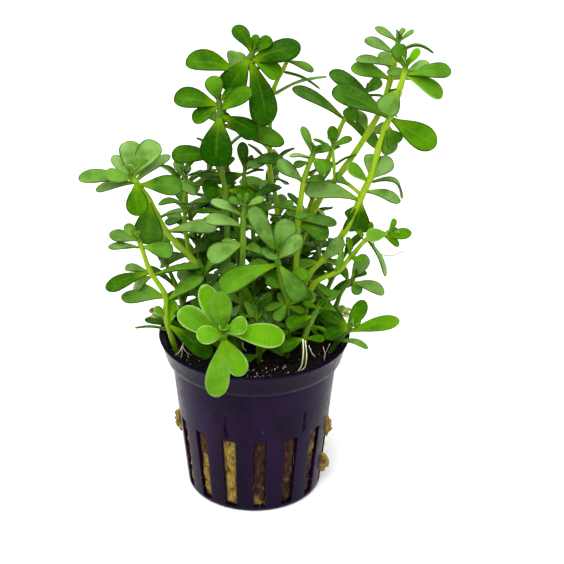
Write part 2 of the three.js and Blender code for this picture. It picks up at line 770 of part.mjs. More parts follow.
// A spoon-shaped leaf, flat above and keeled below. room swells it, to keep neighbours clear.
function leafShape(base, stemDirection, tip, { width, lean, arch }, room = 0) {
  const axis = tip.clone().sub(base);
  const along = axis.clone().normalize();
  const up = stemDirection.clone().addScaledVector(TOWARDS_LIGHT, lean);
  up.addScaledVector(along, -up.dot(along)).normalize();
  const side = along.clone().cross(up);
  const plan = axis.length() > SHORT_LEAF ? LEAF_RINGS : SHORT_LEAF_RINGS;
  const rings = plan.map(([share, breadth, depth]) => {
    const bow = arch * axis.length() * Math.sin(Math.PI * share);
    const middle = base.clone().addScaledVector(axis, share).addScaledVector(up, bow);
    const half = (width * breadth) / 2 + 2.5 * room;
    const top = LEAF_THICKNESS * depth * LEAF_TOP + room;
    const keel = LEAF_THICKNESS * depth * (1 - LEAF_TOP) + 1.5 * room;
    return [
      middle.clone().addScaledVector(side, -half).addScaledVector(up, top),
      middle.clone().addScaledVector(up, -keel),
      middle.clone().addScaledVector(side, half).addScaledVector(up, top),
    ];
  });
  return loft(base, rings, tip.clone().addScaledVector(along, room));
}

function stemPath(foot, stops) {
  const points = stops.map((stop) => stop.point);
  if (foot) points.unshift(footPoint(foot));
  return new THREE.CatmullRomCurve3(points, false, "centripetal");
}

function stemSteps(path) {
  return Math.max(2, Math.round(path.getLength() / STEM_STEP));
}

// The place nearest to a point on the straight runs that a stem is made of.
function nearestOnStem(path, point) {
  const corners = path.getSpacedPoints(stemSteps(path));
  const places = corners.slice(1).map((end, i) =>
    new THREE.Line3(corners[i], end).closestPointToPoint(point, true, new THREE.Vector3()));
  return places.sort((a, b) => a.distanceTo(point) - b.distanceTo(point))[0];
}

function stemShape(path, radius) {
  const outline = new THREE.Shape();
  for (let k = 0; k < STEM_SIDES; k++) {
    const angle = (2 * Math.PI * k) / STEM_SIDES;
    const [x, y] = [radius * Math.cos(angle), radius * Math.sin(angle)];
    if (k === 0) outline.moveTo(x, y);
    else outline.lineTo(x, y);
  }
  outline.closePath();
  const steps = stemSteps(path);
  return new THREE.ExtrudeGeometry(outline, { steps, extrudePath: path, bevelEnabled: false });
}

// The leaves of a shoot, each as its base, its stem's direction there and its own figures.
function leavesOf({ foot, stem, stops }) {
  const path = stemPath(foot, stops);
  const first = foot ? 1 : 0;
  const last = path.points.length - 1;
  return stops.flatMap(({ point, leaves }, i) => {
    const direction = path.getTangent((i + first) / last);
    return leaves.map((one, k) => {
      const down = PAIR_SPACING * (0.6 + Math.floor(k / 2));
      const base = nearestOnStem(path, point.clone().addScaledVector(direction, -down));
      const out = one.tip.clone().sub(base);
      out.addScaledVector(direction, -out.dot(direction)).setLength((LEAF_SEAT * stem) / 2);
      return { ...one, direction, base: base.add(out) };
    });
  });
}

// A leaf moves along the line of sight until it meets the least of what is there already.
function settled(one, taken) {
  const sight = one.tip.clone().sub(VIEWPOINT).normalize();
  let best = null;
  for (const shift of GIVE_WAY) {
    const tip = one.tip.clone().addScaledVector(sight, shift);
    const blade = solid(leafShape(one.base, one.direction, tip, one));
    const met = blade.intersect(taken).volume();
    if (!best || met < best.met - SLIGHT_TOUCH) best = { met, tip, blade };
    if (best.met < SLIGHT_TOUCH) break;
  }
  const swollen = solid(leafShape(one.base, one.direction, best.tip, one, GAP));
  return { blade: best.blade.subtract(taken), swollen };
}

function footPoint([x, y]) {
  return new THREE.Vector3(x, y, SOIL_TOP - PLANTING_DEPTH);
}

function seenStops(nodes) {
  return nodes.map(({ x, z, y, leaves }) => ({
    point: place(x, z, y),
    leaves: leaves.map((one) => ({ ...one, tip: place(one.x, one.z, y + one.depth) })),
  }));
}

// The stops of a bush shoot: a leaning stem, and pairs of leaves in turn across and along it.
function grownStops(foot, tip, pairs, longest, twist) {
  const start = footPoint(foot);
  const end = new THREE.Vector3(...tip);
  const rise = new THREE.Vector3(start.x, start.y, (start.z + end.z) / 2);
  const path = new THREE.QuadraticBezierCurve3(start, rise, end);
  const stops = [];
  for (let pair = 0; pair <= pairs; pair++) {
    const height = pair / pairs;
    const point = path.getPoint(BUSH_FIRST_PAIR + (1 - BUSH_FIRST_PAIR) * height);
    const reach = longest * (1 - BUSH_TAPER * height);
    const lift = THREE.MathUtils.lerp(...BUSH_LIFT, height);
    const angle = twist + (Math.PI / 2) * pair;
    const leaves = [angle, angle + Math.PI].map((turn) => {
      const out = new THREE.Vector3(Math.cos(turn), Math.sin(turn), lift).setLength(reach);
      const width = reach * BUSH_LEAF_SLENDERNESS;
      return { width, lean: BUSH_LEAN, arch: BUSH_ARCH, tip: point.clone().add(out) };
    });
    stops.push({ point, leaves });
  }
  return stops;
}

function allShoots() {
  const seen = SHOOTS.map(({ name, foot, stem, nodes }) => ({
    name, foot, stem, stops: seenStops(nodes),
  }));
  const grown = BUSH.map(([name, foot, tip, pairs, longest], i) => {
    const twist = BUSH_FIRST_TWIST + BUSH_TWIST_STEP * i;
    return { name, foot, stem: BUSH_STEM, stops: grownStops(foot, tip, pairs, longest, twist) };
  });
  return [...seen, ...grown];
}

// Stems stand first. Then the leaves are set in turn, each clear of the stems and leaves of the
// shoots before it.
function plantShapes(shoots) {
  const { union } = wasm.Manifold;
  const stemOf = ({ foot, stem, stops }, room) =>
    solid(stemShape(stemPath(foot, stops), stem / 2 + room));
  const clear = keepOut();
  const swollenStems = shoots.map((shoot) => stemOf(shoot, GAP));
  const swollenLeaves = shoots.map(() => []);
  const shapes = new Map();
  shoots.forEach((shoot, i) => {
    const others = shoots.flatMap(({ name }, k) =>
      name === shoot.name ? [] : [swollenStems[k], ...swollenLeaves[k]]);
    const taken = union([clear, ...others]);
    let shape = stemOf(shoot, 0);
    for (const one of leavesOf(shoot)) {
      const { blade, swollen } = settled(one, taken);
      shape = shape.add(blade);
      swollenLeaves[i].push(swollen);
    }
    const whole = mainBody(shape);
    const { name } = shoot;
    shapes.set(name, shapes.has(name) ? shapes.get(name).add(whole) : whole);
  });
  return shapes;
}

const materials = {
  pot: new THREE.MeshStandardMaterial({ color: "#24143f", roughness: 0.4, metalness: 0 }),
  wool: new THREE.MeshStandardMaterial({ color: "#8a6c33", roughness: 1, metalness: 0 }),
  soil: new THREE.MeshStandardMaterial({ color: "#14100f", roughness: 1, metalness: 0 }),
  plant: new THREE.MeshStandardMaterial({ color: "#5c9a1c", roughness: 0.45, metalness: 0 }),
};

const shoots = allShoots();
const group = new THREE.Group();
group.add(meshOf("net_pot", pot(), materials.pot));
group.add(meshOf("rock_wool", rockWool(), materials.wool));
group.add(meshOf("soil", soil(shoots), materials.soil));
for (const [name, shape] of plantShapes(shoots)) {
  group.add(meshOf(name, shape, materials.plant));
}

export default group;
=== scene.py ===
import functools
import math
import random
from collections import namedtuple

import bmesh
import bpy
from mathutils import Matrix, Vector, kdtree, noise
from mathutils.geometry import interpolate_bezier


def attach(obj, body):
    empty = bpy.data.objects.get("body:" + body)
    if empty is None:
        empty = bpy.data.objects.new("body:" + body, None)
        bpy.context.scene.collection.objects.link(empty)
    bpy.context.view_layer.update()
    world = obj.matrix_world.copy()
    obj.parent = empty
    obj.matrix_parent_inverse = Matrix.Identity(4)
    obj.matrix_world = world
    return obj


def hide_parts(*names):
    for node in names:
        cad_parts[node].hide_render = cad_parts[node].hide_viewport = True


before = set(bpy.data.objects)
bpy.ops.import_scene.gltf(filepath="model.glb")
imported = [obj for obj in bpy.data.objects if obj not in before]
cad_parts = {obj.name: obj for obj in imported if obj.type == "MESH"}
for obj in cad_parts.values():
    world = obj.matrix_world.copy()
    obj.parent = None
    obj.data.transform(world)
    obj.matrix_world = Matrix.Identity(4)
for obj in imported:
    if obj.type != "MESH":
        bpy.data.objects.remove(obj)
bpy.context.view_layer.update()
chance = random.Random(7)

MM = 0.001

# Pot
POT_HEIGHT = 50
RIM_RADIUS = 28
COLLAR_HEIGHT = 7
COLLAR_BOTTOM = POT_HEIGHT - COLLAR_HEIGHT
COLLAR_RADIUS = 25.9
WALL_TOP_RADIUS = 24.4
WALL_FOOT_RADIUS = 20
BASE_RADIUS = 18.8
WALL = 1.1
BASE_THICKNESS = 1.2
MOULDED_EDGE = 0.14
SLOTS = 15
CELL = 360 / SLOTS  # degrees from slot to slot
FIRST_SLOT = 4.4  # degrees
SLOT_BOTTOM = 1.6
SLOT_TOP = 25.5
SLOT_WIDTH_BOTTOM = 3.5
SLOT_WIDTH_TOP = 4.4
DENTS = 6
FIRST_DENT = -21  # degrees
DENT_BOTTOM = 27.5
DENT_HEIGHT = 6.5
DENT_WIDTH = 1.7
DENT_DEPTH = 1.0
DENT_STEEPNESS = 1.8
# How a dent runs out at its foot and its top, as shares of its height, width and depth
DENT_FOOT, DENT_TOP = 0.15, 1.05
DENT_FOOT_STEEPNESS = 5
DENT_NARROWING, DENT_NARROWEST = 0.75, 0.12
DENT_SHALLOWING = 0.4
POT_COLUMNS = 360  # of faces round the pot
SLOT_COLUMNS = 10
FOOT_ROWS = (0.4, 0.9)  # heights
SLOT_ROWS = 16
BAND_ROWS = 34
NEAR_AXIS = 0.01  # radius at which a spun profile starts
MERGED = 0.005  # corners of a spun skin that are nearer to each other than this become one
FOOT_ROUNDING = 0.25
FOOT_ROUNDING_TOP = 0.5
EDGE_ANGLE = 50  # degrees past which an edge is rounded
# Outlines of the base and the collar, as (radius, height)
BASE_OUTLINE = [(NEAR_AXIS, 0), (6, 0), (12, 0), (BASE_RADIUS - 0.4, 0), (BASE_RADIUS + 0.5, 0.1)]
COLLAR_OUTLINE = [
    (COLLAR_RADIUS - 0.35, COLLAR_BOTTOM + 0.12),
    (COLLAR_RADIUS, COLLAR_BOTTOM + 0.4),
    (COLLAR_RADIUS + 0.4, COLLAR_BOTTOM + 1.7),
    (RIM_RADIUS - 0.75, POT_HEIGHT - 1.6),
    (RIM_RADIUS - 0.1, POT_HEIGHT - 0.35),
    (RIM_RADIUS, POT_HEIGHT),
]
PLAIN_BASE = BASE_RADIUS - 1  # radius within which the base is plain

# Noise over a surface, as (its scale per millimetre, how smooth it is, its layers of detail)
LAYER_STEP = 2.0  # how much finer each layer is than the one before
WOOL_LUMPS = (0.35, 0.9, 3)
WOOL_STRANDS = (1.6, 0.7, 4)
TUFT_RAGS = (2.2, 0.8, 4)
SOIL_LUMPS = (0.5, 0.8, 4)

# Rock wool
GAP = 0.3  # between the pot and what fills it
WOOL_TOP = 40
WOOL_ROWS = 90
WOOL_RINGS = (NEAR_AXIS, 8, 15)
WOOL_SKIN = 16  # radius past which the wool is rough
WOOL_BULGE = 0.7
HIGHEST_BULGE = 1.25
BULGE_INSET = (1, 0.6)  # of the bulging wool from a slot's lower and upper end
LUMP_HEIGHT = 0.8
STRAND_HEIGHT = 0.2
# Where the wool looks clean through the slots: slot counted from the front one to the right, height
# of the middle, reach up and down, and how clean it is there
CLEAN_WOOL = [
    (14, 13, 15, 1), (13, 10, 12, 0.65), (12, 10, 12, 0.6), (2, 18, 8, 0.45), (0, 3, 5, 0.45),
    (1, 8, 9, 0.15), (5, 12, 10, 0.8), (7, 18, 8, 0.9), (9, 9, 12, 0.8), (11, 20, 9, 0.9),
]
CLEAN_ANGLE = 9  # degrees to either side of the slot's middle
# Lumps that swell out of the slots: slot, height, length, and how far each stands out
TUFTS = [(3, 8, 7.5, 2.2), (3, 21.3, 8.5, 1.2), (11, 20.5, 9, 1.5)]
AMBER_TUFT = 0
TUFT_WIDTH = 1.3
TUFT_ROOT = 2
TUFT_RAGGEDNESS = 0.35
AMBER_RAGGEDNESS = 0.2
TUFT_CLEANNESS = 0.8
# Low places of the wool, where this height is small, get painted shade
TUFT_HEIGHT = 0.6  # of its surface on average, from 0 for a hollow to 1
FIBRES = 70
FIBRE_WIDTH = 0.06
FIBRE_LENGTH = (2.0, 5.0)
FIBRE_INSET = (3, 2)  # from a slot's lower and upper end
FIBRE_SPREAD = 3.5  # degrees to either side of the slot's middle
FIBRE_ROOT = 1.2
FIBRE_REACH = (1.2, 2.0)
FIBRE_AIM = 0.5  # how far it strays sideways
FIBRE_STRETCH = 0.7
FIBRE_BOW = 0.6
FIBRE_STEPS, FIBRE_SIDES = 3, 4
FIBRE_STATE = (0.9, 1, 0.1, 1)  # clean, high and hardly amber

# Soil
SOIL_TOP = 46.5
SURFACE_Z = SOIL_TOP - 0.3
SURFACE_FROM = SURFACE_Z - 0.1  # corners above this are on the surface
SOIL_FLARE = 1.8  # how far above the collar's foot the soil reaches the collar's inside
SOIL_RINGS = 34
SOIL_COLUMNS = 150
SOIL_MERGED = 0.02
SOIL_LUMP = 0.5
CRUMBS = 1500
CRUMB_SIZE = (0.25, 0.85)
CRUMB_BREADTH = (0.5, 1)
CRUMB_HEIGHT = (0.35, 0.7)
CRUMB_TURN = 6.28  # radians
CRUMB_LIFT = 0.1
CRUMB_ROUGHNESS = 0.35
CRUMB_GRAIN = 1.7
CRUMB_MARGIN = 0.8  # from the pot
RIM_CRUMBS = 0.8  # share of the radius past which crumbs are larger
RIM_CRUMB_GROWTH = 1.25
GRAINS = 130  # of perlite
FRONT_GRAINS = 26
GRAIN_RADIUS = 25.3
GRAIN_SIZE = (0.1, 0.26)
GRAIN_LIFT = 0.55
FRONT_GRAIN_RADIUS = (16.5, 21.5)
FRONT_GRAIN_ANGLE = (8, 20)  # degrees: the middle and the spread

# How the leaves sit on their stems, as on the solids
PLANTING_DEPTH = 5
LEAF_THICKNESS = 1.0
PAIR_SPACING = 1.3
LEAF_DROP = 0.6  # of that, below the node
LEAF_SEAT = 0.4
GIVE_WAY = (0, 2, -2, 4, -4, 6, -6)
TOWARDS_LIGHT = Vector((0, -0.894, 0.447))

# The viewpoint, and the photo's geometry in degrees and pixels. The shoots are placed as seen from
# here, on the upright plane through the pot's axis.
VIEWPOINT = Vector((0, -435, 290))
VIEW_PITCH = 27.2
PHOTO_SIZE = 564
FOCAL_PIXELS = 1690
AXIS_PIXEL = 254.3
SENSOR = 36  # millimetres

# A white tent over a white floor, in metres
TENT_BRIGHTNESS = 0.35
FLOOR_SIZE = 4
# Its soft lights: name, place, size, power
LIGHTS = [
    ("overhead", (-0.1, -0.1, 1.0), 1.4, 18),
    ("key", (-0.15, -0.8, 0.8), 0.6, 7),
    ("left", (-0.9, -0.1, 0.35), 0.7, 3.5),
    ("right", (0.9, -0.1, 0.35), 0.7, 3.5),
]
LIGHT_TARGET = Vector((0, 0, 0.07))

# Aerial roots, each as its points seen from the viewpoint, its depth and its thickness
ROOTS = [
    ([(14.3, 47.5), (14.5, 43), (14, 38.5), (13, 36.5)], -19.5, 0.38),
    ([(15, 47), (15.5, 42), (15, 38), (13.8, 36.8)], -19, 0.32),
    ([(16.1, 45.4), (17, 43), (18, 41.5)], -17, 0.18),
    ([(20.3, 45), (20.9, 42.5), (20.7, 40.2)], -14, 0.18),
    ([(22.3, 46), (21.4, 43.6), (20.4, 41)], -12, 0.15),
    ([(-21.1, 46.6), (-20.8, 44), (-18.6, 42)], -11, 0.16),
    ([(-21.3, 45.2), (-22.2, 43.2), (-23.6, 42)], -12, 0.2),
    ([(-21.4, 44.4), (-21.4, 42.4), (-21.8, 40.9)], -12.5, 0.17),
    ([(-21.2, 44.8), (-19.8, 42.6), (-19.5, 41)], -12, 0.16),
    ([(-3.5, 46.3), (-3.2, 44.6), (-2.3, 43.4)], -15, 0.15),
]
THREAD = ([(34, 79.2), (35.4, 76), (39, 74.9), (42.8, 76.4)], -1, 0.4)  # a withered root
ROOT_TAPER = 0.35
ROOT_STEPS, ROOT_SIDES = 5, 7

# Withered leaves near the rim, each as its foot and tip seen from the viewpoint, depth and width
WITHERED_LEAVES = [
    ((25.2, 56.0), (28.2, 57.6), 1, 1.5),
    ((25.0, 55.6), (27.4, 55.0), 0, 1.2),
    ((-26.3, 55.6), (-30.8, 57.0), -9, 2.2),
    ((-26.2, 54.8), (-30.2, 55.2), -9, 1.6),
    ((-26.2, 53.6), (-28.6, 58.6), -8, 1.8),
]

Leaf = namedtuple("Leaf", "x z depth width lean arch look")
Node = namedtuple("Node", "x z y leaves")
Shoot = namedtuple("Shoot", "name foot stem look nodes")
Stop = namedtuple("Stop", "point blades")
Blade = namedtuple("Blade", "tip width lean arch look", defaults=[None])


def leaf(x, z, depth, width, lean=1, arch=0.08, look=None):
    """A leaf by its tip, its depth in front of (-) or behind (+) its node, and its width. It has a
    look of its own, as (freshness, bloom), where it looks unlike the rest of its shoot."""
    return Leaf(x, z, depth, width, lean, arch, look)


def node(x, z, y, *leaves):
    return Node(x, z, y, leaves)


def shoot(name, foot, stem, look, *nodes):
    """A stem from its foot in the soil through its nodes. A side shoot has no foot. The look is how
    fresh the leaves' green is, from 0 for deep to 1 for yellow-green, how pale and greyish their
    bloom is, and how bright the stem is; the dimmer stems of the shoots in the bush's middle are painted
    shade."""
    return Shoot(name, foot, stem, look, nodes)


SHOOTS = [
    shoot("rosette_shoot", (-9, -13), 2.0, (0.8, 0.08, 0.5),
        node(-8.9, 48.6, -19.5,
            leaf(-11.8, 27.6, -11, 6.9), leaf(-3.6, 35.0, -7, 6.0), leaf(-22.3, 56.8, 1, 7.0),
            leaf(-14.8, 65.6, 5, 6.0)),
        node(-8.8, 50.6, -21,
            leaf(9.0, 47.8, -1, 7.2), leaf(-2.0, 52.8, -3, 5.4), leaf(-10.3, 63.4, 3, 6.4),
            leaf(-17.0, 48.2, -4, 5.6, 1, 0.2))),
    shoot("right_front_shoot", (14.5, -11), 1.8, (0.4, 0, 0.3),
        node(15.0, 48.5, -14, leaf(20.7, 47.2, -2, 3.0, 0.6), leaf(7.0, 43.8, -5, 4.4)),
        node(16.4, 52.5, -13.5, leaf(21.0, 50.2, -3, 2.2, 0.2)),
        node(17.6, 55.8, -13, leaf(9.3, 51.9, -3, 4.6), leaf(20.6, 60.6, 3, 3.0)),
        node(18.8, 58.6, -12.5, leaf(14.0, 59.5, -1, 2.6), leaf(23.6, 57.2, 3, 2.8, 0.4))),
    shoot("rim_shoot", (20, -5), 1.8, (0.7, 0, 0.5),
        node(25.2, 47.8, -7,
            leaf(33.6, 44.2, -3, 2.6, 0.3, 0.15, look=(0.7, 0.5)), leaf(26.0, 53.0, 6, 3.0)),
        node(28.3, 51.6, -8,
            leaf(19.3, 57.4, 1, 5.8, look=(0.2, 0)), leaf(20.2, 48.7, -5, 4.6, look=(0.2, 0)),
            leaf(32.1, 60.5, 3, 4.6, look=(0.5, 0)), leaf(42.6, 53.8, -1, 4.7, look=(0.7, 0)))),
    shoot("middle_right_shoot", (9.5, -8), 1.9, (0.6, 0.1, 0.25),
        node(9.4, 60.2, -11,
            leaf(3.0, 57.2, -3, 2.8, 0.6), leaf(6.2, 53.6, -5, 3.6), leaf(14.8, 56.6, -3, 2.6),
            leaf(16.0, 64.0, 6, 5.0)),
        node(8.0, 65.5, -12.5, leaf(3.1, 66.8, -2, 3.6), leaf(15.5, 70.0, 6, 4.8)),
        node(6.8, 72.8, -14.5,
            leaf(13.9, 60.6, -5, 6.4, look=(0.35, 0.2)), leaf(-10.2, 64.0, 0, 7.6, look=(0.65, 0.1))),
        node(6.2, 76.0, -15,
            leaf(-1.2, 90.4, 1, 5.2, look=(0.35, 0.5)), leaf(3.0, 74.6, -5, 6.0, look=(0.4, 0.4)),
            leaf(14.0, 80.6, -2, 5.6, look=(0.4, 0.6)), leaf(9.9, 86.6, 3, 6.8, look=(0.4, 0.5)))),
    shoot("middle_shoot", (-4, -5), 1.9, (0.5, 0.4, 0.35),
        node(-3.6, 61.0, -8.5,
            leaf(3.0, 51.6, -3, 6.2), leaf(5.8, 53.0, 1, 4.0), leaf(-6.9, 55.2, -3, 2.6),
            leaf(-11.5, 66.0, 6, 5.0)),
        node(-3.4, 71.0, -9, leaf(4.0, 72.5, 7, 4.6), leaf(-10.0, 70.5, 5, 4.6)),
        node(-3.2, 79.2, -9.5,
            leaf(-13.2, 73.4, -3, 6.6), leaf(-9.3, 79.6, 1, 2.4, 0.2, look=(0.6, 0.8)),
            leaf(1.8, 77.2, 4, 4.6)),
        node(-3.2, 84.9, -9.5,
            leaf(-14.2, 86.4, -1, 4.4, 1, 0.15, look=(0.5, 0.9)), leaf(1.0, 82.0, 5, 3.0)),
        node(-3.1, 88.2, -9.5,
            leaf(-12.4, 92.2, 0, 3.6, 0.7, 0.12, look=(0.4, 0.9)), leaf(2.4, 88.0, -1, 4.6)),
        node(-2.4, 91.4, -9.5,
            leaf(-7.3, 92.5, 0, 2.8), leaf(2.9, 93.0, 0, 2.4), leaf(-4.5, 94.6, 1, 1.6),
            leaf(-2.0, 94.8, 1, 1.6))),
    shoot("low_left_shoot", (-20.5, -7.5), 1.8, (0.6, 0.2, 0.8),
        node(-24.0, 47.0, -9),
        node(-25.5, 53.0, -9.5,
            leaf(-23.6, 60.6, 2, 4.6, look=(0.95, 0)), leaf(-12.5, 41.5, -8, 5.8, look=(0.2, 0)),
            leaf(-35.1, 51.3, -1, 2.0, -0.3, look=(0.3, 0.7))),
        node(-25.8, 56.6, -9.5, leaf(-29.3, 57.4, -2, 3.2, look=(1, 0.4))),
        node(-26.0, 62.3, -10,
            leaf(-38.8, 61.4, -1, 4.6, 0.9), leaf(-34.4, 64.8, 2, 3.2, 0.6),
            leaf(-14.6, 68.6, 3, 4.8, 0.8)),
        node(-30.2, 70.3, -10.5,
            leaf(-43.2, 64.3, -2, 5.2, look=(0.3, 0)), leaf(-37.3, 71.3, 3, 3.0, 0.7, look=(0.4, 0.5)),
            leaf(-35.2, 63.6, 4, 4.4, look=(0.5, 0.7)), leaf(-15.4, 71.3, 4, 3.4, 0.3)),
        node(-32.5, 78.4, -11,
            leaf(-23.3, 75.7, -2, 5.6), leaf(-41.9, 77.8, -1, 3.0, 0.5, look=(0.4, 0.6))),
        node(-33.3, 80.6, -11, leaf(-41.4, 81.9, 1, 4.2, look=(0.3, 0.4)), leaf(-36.6, 85.0, 2, 3.4))),
    shoot("left_shoot", (-11, 1), 1.8, (0.65, 0.4, 0.85),
        node(-17.2, 72.8, -1),
        node(-22.0, 78.6, -2),
        node(-25.3, 83.0, -3,
            leaf(-10.6, 84.0, 1, 4.8, 0.9, 0.14, look=(0.5, 0.9)), leaf(-25.0, 76.0, 9, 5.0)),
        node(-27.4, 87.6, -4.2, leaf(-20.0, 89.0, 0, 2.2, 0)),
        node(-29.8, 92.8, -5.5, leaf(-29.8, 78.5, -4, 9.2, look=(0.4, 0.1))),
        node(-33.5, 98.6, -7,
            leaf(-32.6, 87.5, -6, 6.7, look=(0.45, 0)), leaf(-44.7, 95.5, 1, 3.6, 0.4, look=(0.5, 0.8)),
            leaf(-20.3, 96.1, -1, 6.4, look=(0.4, 0.15)), leaf(-16.3, 94.3, 5, 3.8, 0.8, 0.2)),
        node(-34.5, 99.8, -7,
            leaf(-49.4, 99.1, 0, 4.8, look=(0.5, 0.4)), leaf(-41.9, 100.2, -4, 5.2, look=(0.7, 0.3)),
            leaf(-39.5, 106.0, 4, 3.4, look=(0.6, 1)), leaf(-23.4, 106.1, 5, 4.0, 0.7, look=(0.5, 1))),
        node(-34.4, 100.8, -7,
            leaf(-34.5, 110.6, 4, 6.4, look=(0.6, 1)), leaf(-26.5, 109.8, 3, 7.2, look=(0.6, 0.9)),
            leaf(-31.0, 105.3, -1, 5.2, -1, look=(0.7, 0.5)))),
    shoot("left_back_shoot", (-13, 7), 1.7, (0.4, 0.4, 0.7),
        node(-18.5, 76.0, 8, leaf(-27.0, 72.0, 4, 5.0), leaf(-13.0, 79.0, 4, 4.0)),
        node(-19.8, 84.5, 8, leaf(-24.0, 88.8, 8, 4.0), leaf(-16.0, 82.0, 7, 4.5)),
        node(-19.4, 91.8, 8,
            leaf(-27.2, 91.0, -1, 2.8, 0.4, 0.2), leaf(-12.2, 92.3, -1, 3.2, 0.2),
            leaf(-21.0, 98.0, 6, 4.0)),
        node(-19.2, 99.8, 8,
            leaf(-16.2, 94.6, -2, 4.0), leaf(-22.0, 104.8, 2, 3.2), leaf(-10.5, 101.6, -1, 2.2, 0))),
    shoot("second_tall_left_shoot", (-6.5, 1.5), 1.9, (0.3, 0, 0.3),
        node(-8.0, 89.0, 1.5, leaf(-16.5, 89.0, 2, 2.6, 0.3)),
        node(-8.2, 96.0, 2, leaf(-14.7, 96.0, -2, 6.8, look=(0.25, 0)), leaf(0.2, 93.4, 2, 4.2)),
        node(-9.3, 101.4, 2, leaf(-18.7, 100.0, 1, 2.2, -0.2), leaf(-7.0, 106.0, 9, 4.5)),
        node(-9.6, 106.4, 1.5, leaf(-23.1, 106.0, -2, 6.4), leaf(-13.2, 101.8, 3, 3.8)),
        node(-9.5, 118.6, 1,
            leaf(-10.9, 102.7, -6, 9.2, look=(0.05, 0)), leaf(1.0, 112.1, -2, 6.8, look=(0.15, 0))),
        node(-9.6, 121.6, 1,
            leaf(-22.1, 123.0, 0, 7.4, look=(0.3, 0)), leaf(-16.7, 115.9, -4, 5.2),
            leaf(-0.4, 125.0, -2, 6.4), leaf(-8.5, 116.0, 10, 5.0)),
        node(-9.8, 122.8, 1, leaf(-11.6, 129.6, 2, 5.2, look=(0.6, 0.1)), leaf(-5.5, 126.0, 4, 3.2))),
    shoot("small_middle_shoot", (0, 4), 1.6, (0.3, 0.1, 0.3),
        node(-1.0, 92.0, 6),
        node(-2.8, 98.0, 6.5, leaf(3.0, 93.5, 6, 4.0), leaf(-7.5, 92.5, 3, 4.0)),
        node(-2.6, 102.6, 6.5,
            leaf(-3.4, 110.2, 1, 3.4), leaf(8.4, 104.3, 0, 4.2, 0.8, 0.25),
            leaf(2.8, 101.6, -1, 1.8, -0.2), leaf(-9.4, 98.1, -1.5, 4.4))),
    shoot("tall_left_shoot", (-3.5, 9), 2.0, (0.45, 0, 0.4),
        node(-6.0, 95.0, 10, leaf(-12.5, 93.0, 6, 4.8), leaf(1.5, 94.5, 6, 4.4)),
        node(-8.6, 106.0, 9.5),
        node(-9.0, 116.0, 9, leaf(8.4, 109.7, -3, 6.5, look=(0.5, 0.1)), leaf(-14.5, 119.5, 8, 4.6)),
        node(-4.6, 131.4, 8.5,
            leaf(-18.7, 133.2, -2, 7.4, 1, 0.14), leaf(2.8, 131.5, 4, 3.4, -0.5),
            leaf(-5.0, 136.6, 5, 5.6, look=(0.6, 0.8))),
        node(-1.0, 135.2, 8.5,
            leaf(-7.5, 125.0, -3, 8.0, look=(0.25, 0)), leaf(3.2, 114.8, -6, 9.4, look=(0.2, 0)),
            leaf(12.6, 138.1, -1, 7.6, look=(0.15, 0))),
        node(-0.2, 136.8, 8.5,
            leaf(-5.6, 143.6, 1, 5.4, 1, 0.15), leaf(4.6, 140.4, 1, 4.0), leaf(0.7, 141.4, 2, 2.6),
            leaf(6.5, 128.8, -3, 6.2))),
    shoot("inner_right_shoot", (11, -1), 1.9, (0.4, 0.2, 0.7),
        node(12.6, 87.0, 0,
            leaf(17.6, 88.0, 2, 2.6), leaf(23.5, 85.2, 1, 4.0), leaf(21.3, 81.2, -2, 6.4)),
        node(12.8, 89.5, 0, leaf(5.4, 90.4, 0, 2.4, 0.1), leaf(13.6, 86.4, -5, 4.2, 2)),
        node(14.0, 98.8, 0,
            leaf(6.0, 103.8, -3, 5.4, 1, 0.12, look=(0.4, 0.6)), leaf(19.6, 98.6, -3, 3.6, 0.7, 0.14)),
        node(16.2, 106.0, 0,
            leaf(20.8, 101.2, -4, 5.8, look=(0.5, 0.1)), leaf(9.7, 105.9, -1, 2.8, 0, look=(0.5, 1)),
            leaf(11.0, 102.9, -2, 2.6)),
        node(16.6, 107.3, 0, leaf(13.1, 114.8, 2, 2.8), leaf(21.2, 108.8, 2, 3.2))),
    shoot("right_tall_shoot", (11, 5), 2.1, (0.6, 0.1, 1),
        node(15.2, 68.0, 3, leaf(22.0, 61.8, -3, 3.0, 0.6), leaf(10.0, 70.5, 8, 5.0)),
        node(20.2, 74.4, 3,
            leaf(25.4, 80.4, -2, 4.4, look=(0.5, 0.9)), leaf(26.4, 71.2, -2, 3.2, 0.8),
            leaf(11.6, 71.2, 0, 3.4, 0.6)),
        node(25.8, 82.8, 3),
        node(30.0, 93.0, 3,
            leaf(14.2, 95.0, -2, 6.3, 1, 0.14, look=(0.55, 0.8)),
            leaf(28.6, 82.6, 1, 8.0, 2, look=(0.3, 0)), leaf(27.0, 86.5, 3, 4.4)),
        node(31.2, 96.0, 3, leaf(41.4, 91.9, -2, 4.4, 0.7, 0.15, look=(0.6, 0.7))),
        node(32.8, 100.0, 3,
            leaf(34.2, 106.4, 3, 6.8, look=(0.6, 1)), leaf(38.5, 105.0, -1, 5.4, look=(0.5, 0.9)),
            leaf(41.6, 92.9, 2, 3.2, 0.2, 0.35, look=(0.6, 0.9)), leaf(26.0, 103.2, -1, 4.8)),
        node(34.4, 107.4, 3),
        node(36.4, 115.0, 3, leaf(39.0, 109.0, -1, 6.2), leaf(37.8, 106.4, 1, 5.2, 2)),
        node(37.6, 118.0, 3,
            leaf(21.1, 124.9, -2, 8.0, look=(0.3, 0.1)),
            leaf(50.6, 109.1, -2, 9.4, 1, -0.04, look=(0.6, 0))),
        node(39.9, 126.4, 2.5, leaf(35.6, 118.4, -4, 6.8, look=(0.5, 0.5)), leaf(37.5, 121.5, 8, 5.0)),
        node(40.9, 130.6, 2.5, leaf(53.6, 130.9, -1, 5.6, look=(0.55, 0.1)), leaf(51.6, 123.4, -2, 5.8)),
        node(41.1, 132.8, 2.5,
